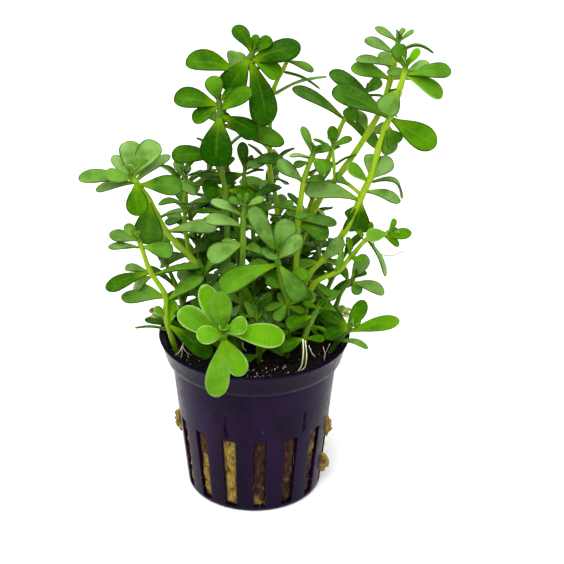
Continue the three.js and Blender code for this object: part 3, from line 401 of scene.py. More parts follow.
            leaf(38.0, 138.4, 1, 5.2, look=(0.4, 0.1)), leaf(44.6, 137.4, 1, 2.6, look=(1, 0)),
            leaf(47.4, 133.4, 2, 3.0, 2, look=(0.6, 0.9)))),
    shoot("right_tall_shoot", None, 1.2, (0.6, 0.1, 1),
        node(30.2, 94.0, 3),
        node(26.0, 97.6, 4.5, leaf(22.9, 100.6, -3, 2.8, 0.7)),
        node(23.0, 98.8, 5.5, leaf(19.5, 96.5, 5, 3.2)),
        node(22.2, 104.0, 6, leaf(28.6, 106.4, 1, 1.6, -0.2)),
        node(21.8, 109.6, 6,
            leaf(21.5, 115.0, 1, 3.1), leaf(27.2, 111.2, 0, 2.6), leaf(16.3, 111.0, 0, 2.0, 0),
            leaf(23.0, 109.0, 6, 2.6))),
    shoot("low_right_shoot", (14, 0), 1.7, (0.65, 0, 0.7),
        node(17.0, 65.4, -1.5, leaf(14.0, 60.6, -4, 3.6)),
        node(24.2, 70.0, -1.5, leaf(25.0, 76.6, -2, 2.6)),
        node(28.1, 75.1, -1.5, leaf(26.4, 81.0, 0, 2.4), leaf(31.5, 73.2, -4, 3.8)),
        node(33.0, 80.8, -1.5,
            leaf(33.2, 85.7, 1, 2.2), leaf(38.0, 68.2, -1, 2.6, 0.6, 0.08, look=(0.6, 0.8)),
            leaf(29.6, 83.2, 2, 2.4)),
        node(39.0, 82.0, -1.5,
            leaf(31.8, 81.2, -2, 4.0, look=(0.8, 0.2)), leaf(39.9, 86.7, 2, 2.4),
            leaf(44.9, 82.2, 0, 3.4), leaf(41.4, 77.9, -2, 2.6), leaf(41.0, 83.0, 7, 2.6))),
    shoot("lowest_right_shoot", (18, 3), 1.6, (0.5, 0.2, 0.4),
        node(23.8, 58.5, 4, leaf(27.5, 56.5, 5, 3.6), leaf(19.0, 58.8, 4, 4.0)),
        node(25.6, 64.0, 4, leaf(20.6, 61.4, -4, 3.8)),
        node(28.8, 67.8, 4,
            leaf(31.9, 75.4, 1, 4.7, look=(0.5, 0.6)), leaf(30.1, 62.1, -3, 4.0, look=(0.4, 0.3)),
            leaf(37.8, 62.8, -1, 4.4, 1, 0.16, look=(0.6, 0.7)), leaf(24.6, 71.6, 3, 3.4))),
    shoot("back_stem_shoot", (4.5, 11), 1.6, (0.6, 0.3, 1),
        node(6.4, 91.0, 13, leaf(11.2, 91.2, -1, 3.6), leaf(-0.5, 89.0, 2, 3.8)),
        node(4.6, 99.6, 13, leaf(1.2, 96.8, -1, 2.2), leaf(8.5, 97.5, 8, 4.4)),
        node(4.3, 108.0, 13, leaf(7.5, 104.8, 7, 4.0), leaf(2.0, 111.5, 8, 4.2)),
        node(5.1, 125.0, 13, leaf(19.9, 129.4, 0, 2.2, -0.1, 0.08), leaf(0.8, 127.0, 9, 4.4)),
        node(7.9, 131.6, 13, leaf(18.0, 125.8, 0, 2.4, -0.2)),
        node(9.3, 134.6, 13, leaf(16.2, 130.9, -1, 3.4, 0.6), leaf(8.6, 137.0, 6, 3.8))),
    shoot("slender_shoot", (9.5, 11.5), 1.6, (0.5, 0.1, 0.8),
        node(14.5, 86.0, 14, leaf(21.0, 84.0, 5, 4.4), leaf(9.0, 88.0, 6, 4.4)),
        node(20.0, 103.0, 14, leaf(16.0, 100.0, 7, 4.2)),
        node(23.2, 112.8, 13.5),
        node(25.2, 117.6, 13, leaf(10.3, 125.9, -2, 4.5, look=(0.3, 0.2)), leaf(34.5, 108.4, 0, 4.6)),
        node(28.2, 122.2, 12.5, leaf(26.0, 116.6, -3, 5.0), leaf(33.0, 120.5, 7, 4.4)),
        node(30.5, 125.2, 12.5,
            leaf(34.6, 128.5, 1, 3.6), leaf(25.2, 129.0, 0, 2.4, 0), leaf(35.4, 123.7, 0, 1.8, -0.1))),
    shoot("back_tall_shoot", (5.5, 14.5), 2.0, (0.5, 0.4, 0.9),
        node(17.4, 90.6, 9.5, leaf(10.0, 84.0, 7, 5.2), leaf(20.5, 84.0, 8, 4.6)),
        node(25.3, 102.4, 8.5),
        node(31.8, 113.6, 8.5, leaf(27.0, 119.6, 9, 5.0), leaf(38.5, 113.0, 10, 5.4)),
        node(34.9, 120.0, 8.5, leaf(20.3, 130.5, -1, 5.6, look=(0.3, 0.1)), leaf(38.5, 118.5, 8, 4.6)),
        node(37.3, 129.4, 8, leaf(26.2, 131.7, -1, 5.4), leaf(45.5, 129.5, 9, 4.8)),
        node(37.9, 133.0, 8,
            leaf(38.9, 129.4, -7, 5.4, 2, look=(0.45, 0.4)),
            leaf(27.5, 134.1, -1, 3.4, 0.8, look=(0.4, 0.6)), leaf(34.5, 136.5, 7, 4.2)),
        node(38.4, 136.6, 8,
            leaf(29.6, 139.7, 0, 3.8, look=(0.4, 0.7)), leaf(48.7, 136.0, 0, 2.0, -0.1, 0.24)),
        node(38.9, 140.2, 8,
            leaf(32.4, 143.3, 0, 2.8, look=(0.5, 0.6)), leaf(42.9, 142.5, 0, 1.6),
            leaf(39.2, 142.4, 2, 1.8))),
]

# Shoots of the far side and the dark middle, as (name, foot, tip, pairs of leaves, longest leaf)
BUSH = [
    ("bush_shoot_1", (-14, 12.5), (-22, 20, 90), 4, 15),
    ("bush_shoot_2", (-6, 17), (-10, 28, 94), 5, 15),
    ("bush_shoot_3", (2, 18.5), (5, 30, 90), 4, 15),
    ("bush_shoot_4", (13, 13.5), (18, 23, 85), 4, 14),
    ("bush_shoot_5", (18.5, 8.5), (27, 14, 69), 3, 12),
    ("bush_shoot_6", (-19, 2.5), (-26, 6, 70), 3, 13),
    ("bush_shoot_7", (1.5, -11), (0, -13, 66), 3, 12),
    ("bush_shoot_8", (-13, -6), (-15, -7, 72), 3, 13),
]
BUSH_STEM = 1.7
BUSH_LEAF_SLENDERNESS = 0.36
BUSH_FIRST_PAIR = 0.3
BUSH_TAPER = 0.35
BUSH_FIRST_TWIST = 0.7
BUSH_TWIST_STEP = 1.1
BUSH_LIFT = (0.15, 0.75)  # how steeply the lowest pair rises, and how much more the top one does
BUSH_LEAN = 0.2
BUSH_ARCH = 0.1

# Leaves that fill the bush: pairs along the stems that stand behind the front ones
FILL_FRONT = 2  # feet further to the front than this get them only near the soil
FILL_FOREMOST = -12  # and feet further to the front than this get none
FILL_FRONT_TOP = 62
FILL_BACK = 4  # feet behind this get them denser and longer
FILL_SPACING = (5.2, 3.6)
FILL_CLEAR = 2.0  # from a node that has its own leaves
FILL_MIDDLE = (-2, 75)  # the bush's outline as seen: an oval on the plane through the axis
FILL_REACH = (25, 31)
FILL_LENGTH = ((7.0, 11.0), (9.0, 14.0))
FILL_LIFT = (0.1, 0.8)
FILL_SLENDERNESS = 0.42
FILL_TWIST_SPREAD = 0.3
# How much darker the filling leaves and the buds are: painted shade of the bush's inside
FILL_PAINTED_SHADE = 0.04
BUD_LENGTHS = (3.6, 2.4)
BUD_LIFT = 1.6
BUD_SLENDERNESS = 0.5
BUD_SEAT = 0.3
FULL_BUD = 9  # shoots whose last leaves are shorter than this have smaller buds

# How fresh the leaves' green is, how pale their bloom, and how bright the stem
BUSH_TONE = (0.35, 0.05, 0.35)
TONE_SPREAD = 0.18  # from leaf to leaf
BLOOM_SPREAD = (0.3, 1.7)

# A leaf's own form
LEAF_DETAIL = (16, 14)  # sides and rings
SMALL_LEAF_DETAIL = (12, 10)
THINNEST = 0.55  # a short leaf's thickness, as a share of a long one's
LONG_LEAF = 30  # length over which a leaf gains the rest of its thickness
WIDEST = (0.66, 0.78)  # share of the length, from leaf to leaf
STALK = 0.15  # width at the foot, as a share of the full width
FOOT_SWELL, TIP_THINNING = 1.1, 0.45
ROUND_EDGE = 2.2
POLE = 1e-6  # a corner of the ball that is nearer its axis than this is one of its two ends
WEDGE_SHARPNESS = 1.5
TURNED_UNDER = -0.05  # a corner lower than this is on the underside
EDGE_ROUNDING = 0.7
TOP_SHARE, UNDER_SHARE = 0.4, 0.6  # of the thickness, on either side of the leaf's middle sheet
MIDRIB_DEPTH = 0.16
MIDRIB_WIDTH = 0.3
CUPPING = (-0.15, 0.35)
RIPPLE = 0.12
RIPPLES_ACROSS, RIPPLES_ALONG = 1.5, 3
TWIN_REACH = (0.85, 1.15)  # of the two leaves of a small pair
TWIN_LEAN = 0.3
TWIN_ARCH = (0.02, 0.16)

# A stem's own form
STEM_FIT = 0.86  # the round skin is slimmer than the corners of the solid
STEM_SIDES = 10
STEM_SPAN_STEPS = 6
NODE_SWELLING = 0.22
NODE_REACH = 1.6
TIP_SLENDERNESS = 0.75
PAINTED_SHADE_HEIGHT = 16  # of the stem above the soil that is painted darker, as painted shade under the leaves


def linear(code):
    """An sRGB colour code as the linear colour that a shader takes."""
    parts = [int(code[i:i + 2], 16) / 255 for i in (1, 3, 5)]
    return (*[c / 12.92 if c <= 0.04045 else ((c + 0.055) / 1.055) ** 2.4 for c in parts], 1.0)


# Input and output numbers of a colour Mix node, and its setting
FACTOR, FIRST, SECOND, MIXED = 0, 6, 7, 2
COLOURS = {"data_type": "RGBA"}
# Setting of a Map Range node, whose inputs are a value, the range it is in and the range to give
EASED = {"interpolation_type": "SMOOTHSTEP"}


def add_node(tree, kind, values=(), out=0, **settings):
    """Adds a shader node of a kind and returns one of its outputs, or nothing where it has none.
    values holds its inputs, in order or by name or number: a socket is linked, and anything else
    is set."""
    made = tree.nodes.new("ShaderNode" + kind)
    for name, value in settings.items():
        setattr(made, name, value)
    named = values.items() if isinstance(values, dict) else enumerate(values)
    for key, value in named:
        if isinstance(value, bpy.types.NodeSocket):
            tree.links.new(value, made.inputs[key])
        else:
            made.inputs[key].default_value = value
    return made.outputs[out] if made.outputs else None


def new_material(name):
    """An empty material, and what adds nodes to it."""
    material = bpy.data.materials.new(name)
    material.use_nodes = True
    material.node_tree.nodes.clear()
    return material, functools.partial(add_node, material.node_tree)


def fleshy_leaf():
    """Fleshy leaf skin: wet-looking green with a soft gloss. Light soaks in, a grown leaf's rim carries
    a dark outline of painted shade while a fresh one's rim is pale, and the foot is as yellow as the
    stem."""
    material, add = new_material("fleshy_leaf")
    tissue = add("Attribute", attribute_name="tissue")
    along = tissue.node.outputs["Alpha"]
    tone, face, across = add("SeparateColor", [tissue]).node.outputs
    bloom = add("Attribute", out="Fac", attribute_name="bloom")
    place = add("TexCoord", out="Object")
    patches = add("TexNoise", {"Vector": place, "Scale": 1 / (4 * MM), "Detail": 3})
    cells = add("TexNoise", {"Vector": place, "Scale": 1 / (0.5 * MM), "Detail": 3})
    clouded = add("Math", [patches, 0.7, tone], operation="MULTIPLY_ADD")
    freshness = add("MapRange", [clouded, 0.35, 1.45, 0, 1], **EASED)
    light = add("MapRange", [cells, 0.45, 0.8, 0, 0.12], **EASED)
    dark = add("MapRange", [cells, 0.2, 0.55, 0.22, 0], **EASED)
    wiped = add("MapRange", [patches, 0.3, 0.6, 0.45, 1], **EASED)
    bloomed = add("Math", [bloom, wiped], operation="MULTIPLY")
    under = add("Math", [face, -0.5, 0.5], operation="MULTIPLY_ADD")
    vein = add("MapRange", [across, 0, 0.16, 0.16, 0], **EASED)
    fading = add("MapRange", [along, 0.95, 0.5, 0, 1], **EASED)
    midrib = add("Math", [vein, fading], operation="MULTIPLY")
    foot = add("MapRange", [along, 0, 0.42, 0.7, 0], **EASED)
    # The rim: a dark outline of painted shade on a grown leaf, a pale rim on a fresh one
    edge = add("MapRange", [across, 0.76, 1, 0, 0.85], **EASED)
    end = add("MapRange", [along, 0.94, 1, 0, 0.85], **EASED)
    rim = add("Math", [edge, end], operation="MAXIMUM")
    young = add("MapRange", [tone, 0.64, 0.8, 0, 1], **EASED)
    painted_shade_outline, young_rim = linear("#1a2704"), linear("#8aa860")
    rim_colour = add("Mix", {FACTOR: young, FIRST: painted_shade_outline, SECOND: young_rim}, MIXED, **COLOURS)
    deep = linear("#0a3900")
    colour = deep
    for share, tint in [
            (freshness, linear("#548a04")), (light, linear("#74a01e")), (dark, deep),
            (bloomed, linear("#70924c")), (under, linear("#557d20")), (midrib, linear("#71981c")),
            (foot, linear("#71980a")), (rim, rim_colour)]:
        colour = add("Mix", {FACTOR: share, FIRST: colour, SECOND: tint}, MIXED, **COLOURS)
    relief = add("Math", [patches, 6, cells], operation="MULTIPLY_ADD")
    skin = add("Bump", {"Height": relief, "Distance": 0.1 * MM, "Strength": 0.9})
    surface = add("BsdfPrincipled", {
        "Base Color": colour,
        "Roughness": 0.36,
        "IOR": 1.42,
        "Normal": skin,
        "Specular IOR Level": 0.1,
        "Specular Tint": linear("#c0ec70"),
        "Subsurface Weight": 0.3,
        "Subsurface Radius": (0.6, 1.0, 0.08),
        "Subsurface Scale": 1.0 * MM,
    })
    add("OutputMaterial", [surface])
    return material


def juicy_stem():
    """Stem skin: smooth, juicy yellow-green, a little reddish brown at the nodes, painted darker near
    the soil as painted shade under the leaves, and deeper green at the bud."""
    material, add = new_material("juicy_stem")
    tissue = add("Attribute", attribute_name="tissue")
    tone, knot, low = add("SeparateColor", [tissue]).node.outputs
    place = add("TexCoord", out="Object")
    drawn = add("Mapping", {"Vector": place, "Scale": (1, 1, 0.15)})
    streaks = add("TexNoise", {"Vector": drawn, "Scale": 1 / (1.2 * MM), "Detail": 3})
    streaked = add("Math", [streaks, 0.9, tone], operation="MULTIPLY_ADD")
    brightness = add("MapRange", [streaked, 0.5, 1.6, 0, 1], **EASED)
    # Painted shade near the soil, and the bud's deeper green
    green = add("Math", [low, tissue.node.outputs["Alpha"]], operation="MAXIMUM")
    flecks = add("MapRange", [streaks, 0.45, 0.7, 0, 0.3], **EASED)
    blush = add("Math", [knot, flecks], operation="MULTIPLY")
    colour = linear("#326004")
    for share, tint in [
            (brightness, linear("#86a60c")), (green, linear("#2f5a06")), (blush, linear("#7a5a26"))]:
        colour = add("Mix", {FACTOR: share, FIRST: colour, SECOND: tint}, MIXED, **COLOURS)
    skin = add("Bump", {"Height": streaks, "Distance": 0.08 * MM, "Strength": 0.5})
    surface = add("BsdfPrincipled", {
        "Base Color": colour,
        "Roughness": 0.35,
        "IOR": 1.42,
        "Normal": skin,
        "Specular IOR Level": 0.2,
        "Subsurface Weight": 0.5,
        "Subsurface Radius": (0.9, 1.0, 0.1),
        "Subsurface Scale": 1.5 * MM,
    })
    add("OutputMaterial", [surface])
    return material


def moulded_polypropylene():
    """Moulded polypropylene, dark violet: satin with a cloudy, slightly scuffed sheen and a few
    specks of dust, and painted darker at the collar as painted shade."""
    material, add = new_material("moulded_polypropylene")
    place = add("TexCoord", out="Object")
    drawn = add("Mapping", {"Vector": place, "Scale": (1, 1, 0.4)})
    clouds = add("TexNoise", {"Vector": drawn, "Scale": 1 / (9 * MM), "Detail": 4})
    cloudy = add("MapRange", [clouds, 0.3, 0.75, 0, 1], **EASED)
    specks = add("TexNoise", {"Vector": place, "Scale": 1 / (0.7 * MM), "Detail": 2})
    dust = add("MapRange", [specks, 0.72, 0.78, 0, 0.35], **EASED)
    height = add("SeparateXYZ", [place], "Z")
    # Painted shade: the collar is painted darker from its foot upwards
    collar_edge = COLLAR_BOTTOM * MM
    collar_painted_shade = add("MapRange", [height, collar_edge, collar_edge + 4 * MM, 0, 0.7], **EASED)
    colour = linear("#0b0214")
    for share, tint in [
            (cloudy, linear("#190827")), (dust, linear("#6f6780")), (collar_painted_shade, linear("#060114"))]:
        colour = add("Mix", {FACTOR: share, FIRST: colour, SECOND: tint}, MIXED, **COLOURS)
    rubbed = add("Mapping", {"Vector": place, "Scale": (1, 1, 0.5)})
    scuffs = add("TexNoise", {"Vector": rubbed, "Scale": 1 / (1.4 * MM), "Detail": 6})
    roughness = add("MapRange", [scuffs, 0.35, 0.75, 0.27, 0.42], **EASED)
    skin = add("Bump", {"Height": scuffs, "Distance": 0.04 * MM, "Strength": 0.6})
    surface = add("BsdfPrincipled", {
        "Base Color": colour,
        "Roughness": roughness,
        "IOR": 1.49,
        "Normal": skin,
        "Specular IOR Level": 0.05,
        "Sheen Weight": 0.06,
        "Sheen Roughness": 0.3,
        "Sheen Tint": linear("#f2d8ee"),
    })
    add("OutputMaterial", [surface])
    return material


def rock_wool_fibre():
    """Damp rock wool: matted mineral fibre, olive-yellow where clean, red-brown where soaked and
    amber where a lump has swelled out. The hollows between the strands are painted dark, as painted
    shade."""
    material, add = new_material("rock_wool_fibre")
    state = add("Attribute", attribute_name="state")
    clean, height, amber = add("SeparateColor", [state]).node.outputs
    place = add("TexCoord", out="Object")
    stains = add("TexNoise", {"Vector": place, "Scale": 1 / (3 * MM), "Detail": 4})
    combed = add("Mapping", {"Vector": place, "Rotation": (0.35, 0.2, 0), "Scale": (1, 1, 0.22)})
    strands = add("TexNoise", {"Vector": combed, "Scale": 1 / (0.6 * MM), "Detail": 6})
    bright = add("MapRange", [strands, 0.3, 0.7, 0, 1], **EASED)
    wet = add("MapRange", [strands, 0.4, 0.75, 0, 1], **EASED)
    olive, soaked, swelled = [
        add("Mix", {FACTOR: share, FIRST: linear(first), SECOND: linear(second)}, MIXED, **COLOURS)
        for share, first, second in [
            (bright, "#5c4518", "#8e7a34"), (wet, "#1c0b07", "#482615"),
            (stains, "#644a1c", "#a08242")]]
    ragged = add("Math", [stains, 1.6, -0.8], operation="MULTIPLY_ADD")
    washed = add("Math", [clean, ragged], operation="ADD")
    wash = add("MapRange", [washed, 0.2, 0.75, 0, 1], **EASED)
    # Painted shade: the low places of the surface are painted dark
    hollow = add("MapRange", [height, 0.2, 0.7, 0.65, 0], **EASED)
    colour = soaked
    for share, tint in [(wash, olive), (amber, swelled), (hollow, linear("#120805"))]:
        colour = add("Mix", {FACTOR: share, FIRST: colour, SECOND: tint}, MIXED, **COLOURS)
    mat = add("Bump", {"Height": strands, "Distance": 0.2 * MM, "Strength": 0.7})
    surface = add("BsdfPrincipled", {
        "Base Color": colour,
        "Roughness": 0.7,
        "IOR": 1.5,
        "Normal": mat,
        "Specular IOR Level": 0.12,
    })
    add("OutputMaterial", [surface])
    return material


def damp_soil():
    """Damp peat soil: near-black crumbs, with a few wet glints."""
    material, add = new_material("damp_soil")
    place = add("TexCoord", out="Object")
    crumbs = add("TexNoise", {"Vector": place, "Scale": 1 / (1 * MM), "Detail": 5})
    dry = add("MapRange", [crumbs, 0.35, 0.75, 0, 1], **EASED)
    peat, dust = linear("#050404"), linear("#171009")
    colour = add("Mix", {FACTOR: dry, FIRST: peat, SECOND: dust}, MIXED, **COLOURS)
    wetness = add("TexNoise", {"Vector": place, "Scale": 1 / (2.5 * MM), "Detail": 2})
    roughness = add("MapRange", [wetness, 0.4, 0.65, 0.45, 0.85], **EASED)
    grit = add("Bump", {"Height": crumbs, "Distance": 0.25 * MM, "Strength": 0.8})
    surface = add("BsdfPrincipled", {
        "Base Color": colour,
        "Roughness": roughness,
        "IOR": 1.45,
        "Normal": grit,
        "Specular IOR Level": 0.2,
    })
    add("OutputMaterial", [surface])
    return material


def mottled(name, grain, low, high, first, second, finish):
    """A plain material that mottles from one colour to another, with features of a size in mm."""
    material, add = new_material(name)
    place = add("TexCoord", out="Object")
    mottle = add("TexNoise", {"Vector": place, "Scale": 1 / (grain * MM), "Detail": 3})
    share = add("MapRange", [mottle, low, high, 0, 1], **EASED)
    tints = {FACTOR: share, FIRST: linear(first), SECOND: linear(second)}
    colour = add("Mix", tints, MIXED, **COLOURS)
    surface = add("BsdfPrincipled", {"Base Color": colour, **finish})
    add("OutputMaterial", [surface])
    return material


def pale_grit():
    """Perlite crumbs: dull white to grey."""
    return mottled("pale_grit", 0.8, 0.4, 0.7, "#c9c2b6", "#6b625a", {"Roughness": 0.8, "IOR": 1.5})


def fresh_root():
    """Aerial root: waxy white with a beige cast."""
    return mottled("fresh_root", 1.5, 0.1, 0.9, "#efe6cf", "#c9b48e", {
        "Roughness": 0.45,
        "IOR": 1.42,
        "Subsurface Weight": 0.3,
        "Subsurface Radius": (1.0, 0.9, 0.7),
        "Subsurface Scale": 0.4 * MM,
    })


def withered_leaf():
    """Withered leaf skin: thin, dull yellow-brown with browner patches."""
    return mottled("withered_leaf", 1.5, 0.4, 0.65, "#8f9a3e", "#4e4a2a", {
        "Roughness": 0.6,
        "IOR": 1.42,
        "Specular IOR Level": 0.3,
    })


def white_paper():
    """Matt background paper, a little off white."""
    material, add = new_material("white_paper")
    surface = add("BsdfPrincipled", {"Base Color": linear("#f4f4f4"), "Roughness": 0.9})
    add("OutputMaterial", [surface])
    return material


LEAF = fleshy_leaf()
STEM = juicy_stem()
POT_PLASTIC = moulded_polypropylene()
WOOL_FIBRE = rock_wool_fibre()
SOIL_CRUMB = damp_soil()
GRIT = pale_grit()
ROOT = fresh_root()
WITHERED = withered_leaf()


def unit(value):
    """The value, kept between 0 and 1."""
    return min(1.0, max(0.0, value))


def seen(x, z, y):
    """The place at depth y that the viewpoint sees at x, z on the plane through the pot's axis."""
    scale = 1 - y / VIEWPOINT.y
    return Vector((x * scale, y, VIEWPOINT.z + (z - VIEWPOINT.z) * scale))


def smooth_path(points, steps):
    """Points of a smooth centripetal curve through the given ones, and its direction at each."""
    ends = [2 * points[0] - points[1], *points, 2 * points[-1] - points[-2]]
    path, directions = [points[0].copy()], []
    for before, start, end, after in zip(ends, ends[1:], ends[2:], ends[3:]):
        gaps = [math.sqrt((b - a).length) for a, b in ((before, start), (start, end), (end, after))]
        leave = ((start - before) / gaps[0] - (end - before) / (gaps[0] + gaps[1])
                 + (end - start) / gaps[1]) * gaps[1]
        arrive = ((end - start) / gaps[1] - (after - start) / (gaps[1] + gaps[2])
                  + (after - end) / gaps[2]) * gaps[1]
        run = interpolate_bezier(start, start + leave / 3, end - arrive / 3, end, steps + 1)
        path += run[1:]
        directions.append(leave.normalized())
    directions.append(arrive.normalized())
    return path, directions


def mesh_piece(name, bm, materials):
    """Makes the piece from its bmesh, in metres at the origin."""
    bmesh.ops.recalc_face_normals(bm, faces=bm.faces)
    bmesh.ops.scale(bm, vec=(MM, MM, MM), verts=bm.verts)
    for face in bm.faces:
        face.smooth = True
    mesh = bpy.data.meshes.new(name)
    bm.to_mesh(mesh)
    bm.free()
    for material in materials:
        mesh.materials.append(material)
    piece = bpy.data.objects.new(name, mesh)
    bpy.context.scene.collection.objects.link(piece)
    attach(piece, "root")
    return piece


def use_second_material(bm, first):
    """Gives the second material to all faces but the first ones, by their number."""
    bm.faces.ensure_lookup_table()
    for face in bm.faces[first:]:
        face.material_index = 1


def tube(bm, path, radii, sides):
    """A round skin along a path, closed at both ends. Returns its new vertices by ring."""
    tangents = [(b - a).normalized() for a, b in zip([path[0], *path], [*path[1:], path[-1]])]
    tangents[0] = (path[1] - path[0]).normalized()
    across = tangents[0].orthogonal().normalized()
    made = bmesh.ops.create_circle(bm, cap_ends=True, segments=sides, radius=1)
    ring = made["verts"]
    edges = list({edge for vert in ring for edge in vert.link_edges})
    last = Matrix.Identity(4)
    rings = []
    for point, tangent, radius in zip(path, tangents, radii):
        across = (across - tangent * across.dot(tangent)).normalized()
        turn = Matrix((across, tangent.cross(across), tangent)).transposed().to_4x4()
        place = Matrix.Translation(point) @ turn @ Matrix.Scale(radius, 4)
        if rings:
            grown = bmesh.ops.extrude_edge_only(bm, edges=edges)["geom"]
            ring = [one for one in grown if isinstance(one, bmesh.types.BMVert)]
            edges = [one for one in grown if isinstance(one, bmesh.types.BMEdge)
                     and all(end in ring for end in one.verts)]
        bmesh.ops.transform(bm, matrix=place @ last.inverted(), verts=ring)
        last = place
        rings.append(ring)
    bmesh.ops.contextual_create(bm, geom=edges)
    return rings


def outline(share, widest):
    """A leaf's half width along its length: a wedge up to its widest place, then a round tip."""
    if share > widest:
        return math.sqrt(max(0.0, 1 - ((share - widest) / (1 - widest)) ** 2))
    return STALK + (1 - STALK) * math.sin(math.pi / 2 * share / widest) ** WEDGE_SHARPNESS


def leaf_blade(bm, layers, base, stem_direction, blade, look, detail=LEAF_DETAIL):
    """A fleshy leaf: a ball drawn out from its foot to its tip, thin, keeled and bowed. Its tissue
    holds how fresh the green is, whether a corner faces up, and its places across and along."""
    axis = blade.tip - base
    length = axis.length
    along = axis / length
    up = stem_direction + TOWARDS_LIGHT * blade.lean
    up = (up - along * up.dot(along)).normalized()
    side = along.cross(up)
    half = blade.width / 2
    thickness = LEAF_THICKNESS * min(1.0, THINNEST + length / LONG_LEAF)
    cup = chance.uniform(*CUPPING)
    ripple = chance.uniform(0, 100)
    widest = chance.uniform(*WIDEST)
    tissue, bloom = layers
    tone = unit(look[0] + chance.uniform(-TONE_SPREAD, TONE_SPREAD))
    paleness = unit(look[1] * chance.uniform(*BLOOM_SPREAD))
    if blade.look:
        tone, paleness = blade.look
    sides, rings = detail
    made = bmesh.ops.create_uvsphere(bm, u_segments=sides, v_segments=rings, radius=1)
    for vert in made["verts"]:
        x, y, z = vert.co
        share = (1 + z) / 2
        ring = math.hypot(x, y)
        across, rise = (x / ring, y / ring) if ring > POLE else (0.0, 0.0)
        reach = outline(share, widest) * half
        depth = thickness * (FOOT_SWELL - TIP_THINNING * share) * min(1.0, ring * ROUND_EDGE)
        flank = TOP_SHARE if rise > 0 else UNDER_SHARE
        lift = math.copysign(abs(rise) ** EDGE_ROUNDING, rise) * depth * flank
        if rise > 0:
            lift -= MIDRIB_DEPTH * math.exp(-((across / MIDRIB_WIDTH) ** 2)) * (1 - share)
        lift += cup * reach * across * across
        ripples = Vector((across * RIPPLES_ACROSS, share * RIPPLES_ALONG, ripple))
        lift += RIPPLE * noise.noise(ripples)
        slope = blade.arch * math.pi * math.cos(math.pi * share)
        normal = (up - along * slope).normalized()
        bow = blade.arch * length * math.sin(math.pi * share)
        vert.co = base + axis * share + up * bow + side * (across * reach) + normal * lift
        vert[tissue] = (tone, 1.0 if rise > TURNED_UNDER else 0.0, abs(across), share)
        vert[bloom] = paleness


def stem_skin(bm, tissue, path, knots, radius, tone):
    """The stem's round skin, a little swollen at its nodes and slimmer at its tip. Its tissue holds
    how bright it is, and how near a corner is to a node, to the soil and to the bud."""
    first = len(bm.faces)
    radii, knottiness = [], []
    for i, point in enumerate(path):
        near = min((point - knot).length for knot in knots)
        knottiness.append(math.exp(-((near / NODE_REACH) ** 2)))
        swell = 1 + NODE_SWELLING * knottiness[-1]
        slim = 1 - (1 - TIP_SLENDERNESS) * (i / (len(path) - 1)) ** 3
        radii.append(radius * swell * slim)
    for ring, point, knot in zip(tube(bm, path, radii, STEM_SIDES), path, knottiness):
        # Nearness to the soil: where painted shade darkens the stem
        low = max(0.0, 1 - (point.z - SOIL_TOP) / PAINTED_SHADE_HEIGHT)
        bud = math.exp(-(((point - path[-1]).length / NODE_REACH) ** 2))
        for vert in ring:
            vert[tissue] = (tone, knot, low, bud)
    use_second_material(bm, first)


def cad_corners(name):
    """The corners of a shoot's solid, to look up by place."""
    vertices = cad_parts[name].data.vertices
    corners = kdtree.KDTree(len(vertices))
    for i, vertex in enumerate(vertices):
        corners.insert(vertex.co, i)
    corners.balance()
    return corners


def settled(corners, tip):
    """The tip of the leaf's solid, which gave way to its neighbours along the line of sight."""
    sight = (tip - VIEWPOINT).normalized()
    places = [tip + sight * shift for shift in GIVE_WAY]
    return min(places, key=lambda place: round(corners.find(place * MM)[2] / MM, 2))


def foot_point(foot):
    return Vector((*foot, SOIL_TOP - PLANTING_DEPTH))


def seen_stops(nodes):
    """The stops of a shoot that the photo shows."""
    return [
        Stop(seen(stop.x, stop.z, stop.y), [
            Blade(seen(one.x, one.z, stop.y + one.depth), one.width, one.lean, one.arch, one.look)
            for one in stop.leaves])
        for stop in nodes]


def grown_stops(foot, tip, pairs, longest, twist):
    """The stops of a bush shoot: a leaning stem, and pairs of leaves each across the last."""
    start, end = foot_point(foot), Vector(tip)
    rise = Vector((start.x, start.y, (start.z + end.z) / 2))
    stops = []
    for pair in range(pairs + 1):
        height = pair / pairs
        t = BUSH_FIRST_PAIR + (1 - BUSH_FIRST_PAIR) * height
        point = start * (1 - t) ** 2 + rise * 2 * t * (1 - t) + end * t * t
        reach = longest * (1 - BUSH_TAPER * height)
        blades = []
        for half_turn in (0, math.pi):
            turn = twist + math.pi / 2 * pair + half_turn
            lift = BUSH_LIFT[0] + BUSH_LIFT[1] * height
            out = Vector((math.cos(turn), math.sin(turn), lift)).normalized()
            width = reach * BUSH_LEAF_SLENDERNESS
            blades.append(Blade(point + out * reach, width, BUSH_LEAN, BUSH_ARCH))
        stops.append(Stop(point, blades))
    return stops


def in_the_bush(place):
    """Whether the viewpoint sees a place inside the bush's outline."""
    scale = 1 - place.y / VIEWPOINT.y
    x = place.x / scale - FILL_MIDDLE[0]
    z = VIEWPOINT.z + (place.z - VIEWPOINT.z) / scale - FILL_MIDDLE[1]
    return (x / FILL_REACH[0]) ** 2 + (z / FILL_REACH[1]) ** 2 < 1


def paired_blades(point, direction, turn, length, lift, slenderness):
    """Two small leaves on opposite sides of a stem."""
    blades = []
    for half_turn in (0, math.pi):
        out = Matrix.Rotation(turn + half_turn, 3, direction) @ direction.orthogonal().normalized()
        reach = length * chance.uniform(*TWIN_REACH)
        tip = point + (out + direction * lift).normalized() * reach
        blades.append(Blade(tip, reach * slenderness, TWIN_LEAN, chance.uniform(*TWIN_ARCH)))
    return blades


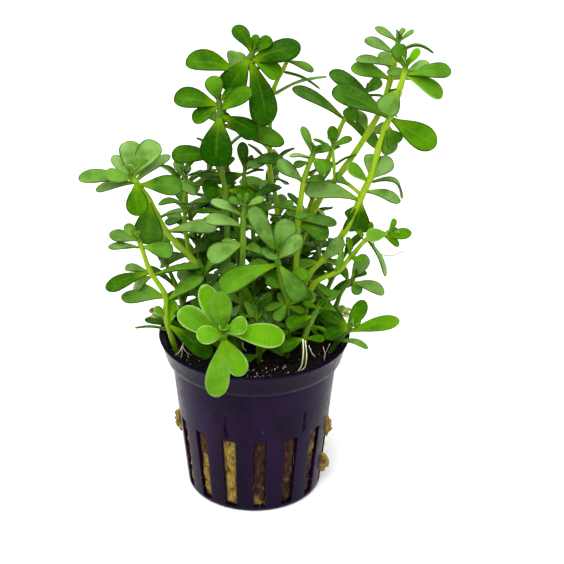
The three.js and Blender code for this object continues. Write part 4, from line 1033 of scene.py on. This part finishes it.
def fill_stops(path, knots, back, top):
    """Pairs of leaves along a stem up to a height, each with the stem's direction there."""
    walked = chance.uniform(0, FILL_SPACING[back])
    turn = chance.uniform(0, math.pi)
    found = []
    for start, end in zip(path, path[1:]):
        walked += (end - start).length
        if walked < FILL_SPACING[back]:
            continue
        walked = 0
        if end.z > top or min((end - knot).length for knot in knots) < FILL_CLEAR:
            continue
        direction = (end - start).normalized()
        turn += math.pi / 2 + chance.uniform(-FILL_TWIST_SPREAD, FILL_TWIST_SPREAD)
        length, lift = chance.uniform(*FILL_LENGTH[back]), chance.uniform(*FILL_LIFT)
        blades = paired_blades(end, direction, turn, length, lift, FILL_SLENDERNESS)
        blades = [blade for blade in blades if in_the_bush(blade.tip)]
        found.append((Stop(end, blades), direction))
    return found


def grow(bm, layers, name, foot, stem, stops, look):
    """Adds one stem with its leaves."""
    corners = cad_corners(name)
    points = [stop.point for stop in stops]
    if foot:
        points.insert(0, foot_point(foot))
    path, directions = smooth_path(points, STEM_SPAN_STEPS)
    knots = [stop.point for stop in stops]
    stem_skin(bm, layers[0], path, knots, STEM_FIT * stem / 2, look[2])
    for stop, direction in zip(stops, directions[-len(stops):]):
        for k, blade in enumerate(stop.blades):
            base = stop.point - direction * PAIR_SPACING * (LEAF_DROP + k // 2)
            out = blade.tip - base
            out = (out - direction * out.dot(direction)).normalized()
            base += out * LEAF_SEAT * stem / 2
            blade = blade._replace(tip=settled(corners, blade.tip))
            leaf_blade(bm, layers, base, direction, blade, look)
    # Filling leaves and buds are painted darker, as painted shade of the bush's inside
    small = look[0] - FILL_PAINTED_SHADE, look[1]
    if foot and foot[1] > FILL_FOREMOST:
        knots = [stop.point for stop in stops if stop.blades]
        top = path[-1].z if foot[1] > FILL_FRONT else FILL_FRONT_TOP
        for stop, direction in fill_stops(path, knots, foot[1] > FILL_BACK, top):
            for blade in stop.blades:
                leaf_blade(bm, layers, stop.point, direction, blade, small, SMALL_LEAF_DETAIL)
    tip, direction = path[-1], directions[-1]
    turn = chance.uniform(0, math.pi)
    last_leaf = max((blade.tip - stops[-1].point).length for blade in stops[-1].blades)
    for length in BUD_LENGTHS:
        length *= min(1.0, last_leaf / FULL_BUD)
        for blade in paired_blades(tip, direction, turn, length, BUD_LIFT, BUD_SLENDERNESS):
            base = tip - direction * BUD_SEAT
            leaf_blade(bm, layers, base, direction, blade, small, SMALL_LEAF_DETAIL)
        turn += math.pi / 2


def make_shoots():
    shoots = [(one.name, one.foot, one.stem, seen_stops(one.nodes), one.look) for one in SHOOTS]
    for i, (name, foot, tip, pairs, longest) in enumerate(BUSH):
        stops = grown_stops(foot, tip, pairs, longest, BUSH_FIRST_TWIST + BUSH_TWIST_STEP * i)
        shoots.append((name, foot, BUSH_STEM, stops, BUSH_TONE))
    meshes = {}
    for name, *growth in shoots:
        if name not in meshes:
            bm = bmesh.new()
            bm.verts.layers.float_color.new("tissue")
            bm.verts.layers.float.new("bloom")
            meshes[name] = bm
        bm = meshes[name]
        layers = bm.verts.layers.float_color["tissue"], bm.verts.layers.float["bloom"]
        grow(bm, layers, name, *growth)
    for name, bm in meshes.items():
        piece = mesh_piece(name + "_leaves", bm, [LEAF, STEM])
        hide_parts(name)


def wall_radius(z):
    return WALL_FOOT_RADIUS + (WALL_TOP_RADIUS - WALL_FOOT_RADIUS) * z / COLLAR_BOTTOM


def round_the_axis(radius, angle, z):
    """A place by its angle, in degrees, counted from the front to the right."""
    turn = math.radians(angle)
    return Vector((radius * math.sin(turn), -radius * math.cos(turn), z))


def bearing(place):
    """The angle of a place round the axis, counted in the same way."""
    return math.degrees(math.atan2(place.x, -place.y))


def from_middle(angle):
    """Degrees from the middle of the slot cell that an angle is in, with one cell at the front."""
    return (angle + CELL / 2) % CELL - CELL / 2


def spun(bm, profile, steps):
    """Turns a profile of (radius, height) once round the pot's axis."""
    verts = [bmesh.ops.create_vert(bm, co=(0, -r, z))["vert"][0] for r, z in profile]
    edges = [bm.edges.new(pair) for pair in zip(verts, verts[1:])]
    bmesh.ops.spin(
        bm, geom=verts + edges, cent=(0, 0, 0), axis=(0, 0, 1), dvec=(0, 0, 0),
        angle=2 * math.pi, steps=steps, use_merge=True)


def slot_half_angle(z):
    share = unit((z - SLOT_BOTTOM) / (SLOT_TOP - SLOT_BOTTOM))
    width = SLOT_WIDTH_BOTTOM + (SLOT_WIDTH_TOP - SLOT_WIDTH_BOTTOM) * share
    return math.degrees(width / 2 / wall_radius(z))


def dent_depth(angle, z):
    """How deep the drop-shaped stacking dents are at a place on the wall."""
    share = (z - DENT_BOTTOM) / DENT_HEIGHT
    if not -DENT_FOOT < share < DENT_TOP:
        return 0.0
    step = 360 / DENTS
    off = (angle - FIRST_DENT + step / 2) % step - step / 2
    half = DENT_WIDTH / 2 * max(DENT_NARROWEST, 1 - DENT_NARROWING * share)
    across = abs(math.radians(off) * wall_radius(z)) / half
    fall = min(1.0, DENT_STEEPNESS * max(0.0, 1 - across * across))
    fall *= unit((share + DENT_FOOT) * DENT_FOOT_STEEPNESS)
    return DENT_DEPTH * fall * (1 - DENT_SHALLOWING * share)


def make_pot():
    rows = [*FOOT_ROWS, SLOT_BOTTOM]
    for low, high, count in [
            (SLOT_BOTTOM, SLOT_TOP, SLOT_ROWS), (SLOT_TOP, COLLAR_BOTTOM, BAND_ROWS)]:
        rows += [low + (high - low) * i / count for i in range(1, count + 1)]
    wall = [(wall_radius(z) - (FOOT_ROUNDING if z < FOOT_ROUNDING_TOP else 0), z) for z in rows]
    bm = bmesh.new()
    spun(bm, BASE_OUTLINE + wall + COLLAR_OUTLINE, POT_COLUMNS)
    bmesh.ops.remove_doubles(bm, verts=bm.verts, dist=MERGED)
    inner = SLOT_COLUMNS / 2 * CELL / (POT_COLUMNS // SLOTS)
    for vert in bm.verts:
        radius = math.hypot(vert.co.x, vert.co.y)
        z = vert.co.z
        if radius < PLAIN_BASE:
            continue
        angle = bearing(vert.co)
        column = from_middle(angle)
        half = slot_half_angle(min(z, COLLAR_BOTTOM))
        off = column / inner * half
        if abs(column) > inner:
            outside = (abs(column) - inner) * (CELL / 2 - half) / (CELL / 2 - inner)
            off = math.copysign(half + outside, column)
        angle += FIRST_SLOT - column + off
        vert.co = round_the_axis(radius - dent_depth(angle, z), angle, z)
    openings = []
    for face in bm.faces:
        centre = face.calc_center_median()
        if not SLOT_BOTTOM < centre.z < SLOT_TOP or math.hypot(centre.x, centre.y) < BASE_RADIUS:
            continue
        if abs(from_middle(bearing(centre) - FIRST_SLOT)) < slot_half_angle(centre.z):
            openings.append(face)
    bmesh.ops.delete(bm, geom=openings, context="FACES")
    piece = mesh_piece("net_pot_shell", bm, [POT_PLASTIC])
    shell = piece.modifiers.new("wall", "SOLIDIFY")
    shell.thickness = WALL * MM
    shell.offset = -1
    shell.use_even_offset = True
    edge = piece.modifiers.new("moulded_edges", "BEVEL")
    edge.width = MOULDED_EDGE * MM
    edge.segments = 2
    edge.limit_method = "ANGLE"
    edge.angle_limit = math.radians(EDGE_ANGLE)
    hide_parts("net_pot")


def cleanness(angle, z):
    """How clean the wool is at a place, from 0 to 1."""
    spots = []
    for slot, middle, reach, share in CLEAN_WOOL:
        off = (angle - FIRST_SLOT - slot * CELL + 180) % 360 - 180
        spots.append(share * math.exp(-((off / CLEAN_ANGLE) ** 4) - ((z - middle) / reach) ** 4))
    return max(spots)


def unevenness(place, scale, smoothness, layers):
    """How high a rough surface is at a place, about -1 to 1."""
    return noise.fractal(place * scale, smoothness, LAYER_STEP, layers)


def add_tuft(bm, state, slot, height, length, proud, amber):
    """A ragged lump of wool that swells out of a slot."""
    turn = Matrix.Rotation(math.radians(FIRST_SLOT + slot * CELL), 3, "Z")
    ball = bmesh.ops.create_icosphere(bm, subdivisions=4, radius=1)["verts"]
    own_place = Vector((slot, height, 0)) / TUFT_RAGS[0]
    for vert in ball:
        ragged = unevenness(vert.co + own_place, *TUFT_RAGS)
        bump = 1 + (AMBER_RAGGEDNESS if amber else TUFT_RAGGEDNESS) * ragged
        x, y, z = vert.co * bump
        depth = (TUFT_ROOT + proud) * y - (wall_radius(height) - TUFT_ROOT)
        vert.co = turn @ Vector((TUFT_WIDTH * x, depth, length / 2 * z + height))
        # Its height darkens the tuft's low places with painted shade
        vert[state] = (TUFT_CLEANNESS, min(1.0, TUFT_HEIGHT + ragged), amber, 1)


def add_fibre(bm, state):
    """A loose fibre that sticks out of a slot."""
    slot = chance.randrange(SLOTS)
    z = chance.uniform(SLOT_BOTTOM + FIBRE_INSET[0], SLOT_TOP - FIBRE_INSET[1])
    angle = FIRST_SLOT + slot * CELL + chance.uniform(-FIBRE_SPREAD, FIBRE_SPREAD)
    start = round_the_axis(wall_radius(z) - FIBRE_ROOT, angle, z)
    out = round_the_axis(1, angle, 0)
    aim = Vector([chance.uniform(-most, most) for most in (FIBRE_AIM, FIBRE_AIM, 1)])
    reach = chance.uniform(*FIBRE_LENGTH)
    end = start + out * chance.uniform(*FIBRE_REACH) + aim.normalized() * reach * FIBRE_STRETCH
    end += out * max(0.0, wall_radius(end.z) - end.xy.length)
    path, _ = smooth_path([start, (start + end) / 2 + out * FIBRE_BOW, end], FIBRE_STEPS)
    for ring in tube(bm, path, [FIBRE_WIDTH / 2] * len(path), FIBRE_SIDES):
        for vert in ring:
            vert[state] = FIBRE_STATE


def make_wool():
    bottom = BASE_THICKNESS + GAP
    rows = [bottom + (WOOL_TOP - bottom) * i / WOOL_ROWS for i in range(WOOL_ROWS + 1)]
    profile = [(radius, bottom) for radius in WOOL_RINGS]
    profile += [(wall_radius(z) - (WALL + GAP), z) for z in rows]
    profile += [(radius, WOOL_TOP) for radius in reversed(WOOL_RINGS)]
    bm = bmesh.new()
    state = bm.verts.layers.float_color.new("state")
    spun(bm, profile, POT_COLUMNS)
    bmesh.ops.remove_doubles(bm, verts=bm.verts, dist=MERGED)
    for vert in bm.verts:
        radius = math.hypot(vert.co.x, vert.co.y)
        x, y, z = vert.co
        if radius < WOOL_SKIN:
            continue
        angle = bearing(vert.co)
        inside = 0.0
        if SLOT_BOTTOM + BULGE_INSET[0] < z < SLOT_TOP - BULGE_INSET[1]:
            inside = max(0.0, 1 - (from_middle(angle - FIRST_SLOT) / slot_half_angle(z)) ** 2)
        lump = unevenness(vert.co, *WOOL_LUMPS)
        strand = unevenness(Vector((x, y, z / 2)), *WOOL_STRANDS)
        height = WOOL_BULGE + LUMP_HEIGHT * lump + STRAND_HEIGHT * strand
        bulge = min(HIGHEST_BULGE, math.sqrt(inside) * height)
        vert.co = round_the_axis(radius + bulge, angle, z)
        # Its height darkens the low places with painted shade
        vert[state] = (cleanness(angle, z), unit(height), 0, 1)
    for i, tuft in enumerate(TUFTS):
        add_tuft(bm, state, *tuft, 1.0 if i == AMBER_TUFT else 0.0)
    for _ in range(FIBRES):
        add_fibre(bm, state)
    piece = mesh_piece("rock_wool_plug", bm, [WOOL_FIBRE])
    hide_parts("rock_wool")


def soil_radius(z):
    share = (z - COLLAR_BOTTOM) / COLLAR_HEIGHT
    return COLLAR_RADIUS - WALL - GAP + (RIM_RADIUS - COLLAR_RADIUS) * max(0.0, share)


def add_crumb(bm, i):
    far = soil_radius(SURFACE_Z) - CRUMB_MARGIN
    radius = far * math.sqrt(chance.random())
    angle = chance.uniform(0, 360)
    size = chance.uniform(*CRUMB_SIZE) * (RIM_CRUMB_GROWTH if radius > RIM_CRUMBS * far else 1)
    place = round_the_axis(radius, angle, SURFACE_Z + CRUMB_LIFT)
    axis_turn = chance.uniform(0, CRUMB_TURN)
    turn = Matrix.Rotation(axis_turn, 4, Vector((chance.random(), chance.random(), 1)))
    breadth, height = chance.uniform(*CRUMB_BREADTH), chance.uniform(*CRUMB_HEIGHT)
    shape = Matrix.Diagonal((size, size * breadth, size * height, 1))
    crumb = bmesh.ops.create_icosphere(bm, subdivisions=1, radius=1)["verts"]
    for vert in crumb:
        dent = noise.noise(vert.co * CRUMB_GRAIN + Vector((i, 0, 0)))
        vert.co *= 1 + CRUMB_ROUGHNESS * dent
    bmesh.ops.transform(bm, matrix=Matrix.Translation(place) @ turn @ shape, verts=crumb)


def add_grain(bm, front):
    """A pale grain on the soil, anywhere or at the front behind the rim."""
    radius, angle = GRAIN_RADIUS * math.sqrt(chance.random()), chance.uniform(0, 360)
    if front:
        radius, angle = chance.uniform(*FRONT_GRAIN_RADIUS), chance.gauss(*FRONT_GRAIN_ANGLE)
    size = chance.uniform(*GRAIN_SIZE)
    grain = bmesh.ops.create_icosphere(bm, subdivisions=1, radius=size)["verts"]
    place = round_the_axis(radius, angle, SURFACE_Z + GRAIN_LIFT)
    bmesh.ops.translate(bm, vec=place, verts=grain)


def make_soil():
    bm = bmesh.new()
    lower = WOOL_TOP + GAP
    profile = [
        (NEAR_AXIS, lower),
        (wall_radius(lower) - WALL - GAP, lower),
        (WALL_TOP_RADIUS - WALL - GAP, COLLAR_BOTTOM),
        (COLLAR_RADIUS - WALL - GAP, COLLAR_BOTTOM + SOIL_FLARE),
    ]
    profile += [(soil_radius(SURFACE_Z) * (1 - i / SOIL_RINGS) + NEAR_AXIS, SURFACE_Z)
                for i in range(SOIL_RINGS)]
    spun(bm, profile, SOIL_COLUMNS)
    bmesh.ops.remove_doubles(bm, verts=bm.verts, dist=SOIL_MERGED)
    for vert in bm.verts:
        if vert.co.z > SURFACE_FROM:
            vert.co.z += SOIL_LUMP * unevenness(vert.co, *SOIL_LUMPS)
    for i in range(CRUMBS):
        add_crumb(bm, i)
    first = len(bm.faces)
    for i in range(GRAINS):
        add_grain(bm, i < FRONT_GRAINS)
    use_second_material(bm, first)
    piece = mesh_piece("soil_crumbs", bm, [SOIL_CRUMB, GRIT])
    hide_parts("soil")


def add_root(bm, places, y, width):
    points = [seen(x, z, y) for x, z in places]
    path, _ = smooth_path(points, ROOT_STEPS)
    radii = [width / 2 * (1 - ROOT_TAPER * i / (len(path) - 1)) for i in range(len(path))]
    tube(bm, path, radii, ROOT_SIDES)


def make_roots():
    bm = bmesh.new()
    for root in ROOTS:
        add_root(bm, *root)
    piece = mesh_piece("aerial_roots", bm, [ROOT])


def make_withered():
    bm = bmesh.new()
    layers = bm.verts.layers.float_color.new("tissue"), bm.verts.layers.float.new("bloom")
    for foot, tip, y, width in WITHERED_LEAVES:
        blade = Blade(seen(*tip, y), width, 1, 0.2)
        upright = Vector((0, 0, 1))
        leaf_blade(bm, layers, seen(*foot, y), upright, blade, (0, 0), SMALL_LEAF_DETAIL)
    add_root(bm, *THREAD)
    piece = mesh_piece("withered_leaves", bm, [WITHERED])


def make_floor():
    bm = bmesh.new()
    bmesh.ops.create_grid(bm, x_segments=1, y_segments=1, size=FLOOR_SIZE)
    mesh = bpy.data.meshes.new("floor")
    bm.to_mesh(mesh)
    bm.free()
    mesh.materials.append(white_paper())
    floor = bpy.data.objects.new("floor", mesh)
    bpy.context.scene.collection.objects.link(floor)


def add_light(name, place, size, power):
    light = bpy.data.lights.new(name, "AREA")
    light.shape = "DISK"
    light.size = size
    light.energy = power
    lamp = bpy.data.objects.new(name, light)
    lamp.location = place
    lamp.rotation_euler = (LIGHT_TARGET - Vector(place)).to_track_quat("-Z", "Y").to_euler()
    bpy.context.scene.collection.objects.link(lamp)


def make_studio():
    scene = bpy.context.scene
    world = bpy.data.worlds.new("white_tent")
    world.use_nodes = True
    background = world.node_tree.nodes["Background"]
    background.inputs["Color"].default_value = linear("#ffffff")
    background.inputs["Strength"].default_value = TENT_BRIGHTNESS
    scene.world = world
    scene.view_settings.view_transform = "Standard"
    for light in LIGHTS:
        add_light(*light)


def make_camera():
    scene = bpy.context.scene
    data = bpy.data.cameras.new("camera")
    data.sensor_width = SENSOR
    data.lens = SENSOR * FOCAL_PIXELS / PHOTO_SIZE
    data.shift_x = (PHOTO_SIZE / 2 - AXIS_PIXEL) / PHOTO_SIZE
    camera = bpy.data.objects.new("camera", data)
    camera.location = VIEWPOINT * MM
    camera.rotation_euler = (math.radians(90 - VIEW_PITCH), 0, 0)
    scene.collection.objects.link(camera)
    scene.camera = camera


make_pot()
make_wool()
make_soil()
make_roots()
make_withered()
make_shoots()
make_floor()
make_studio()
make_camera()
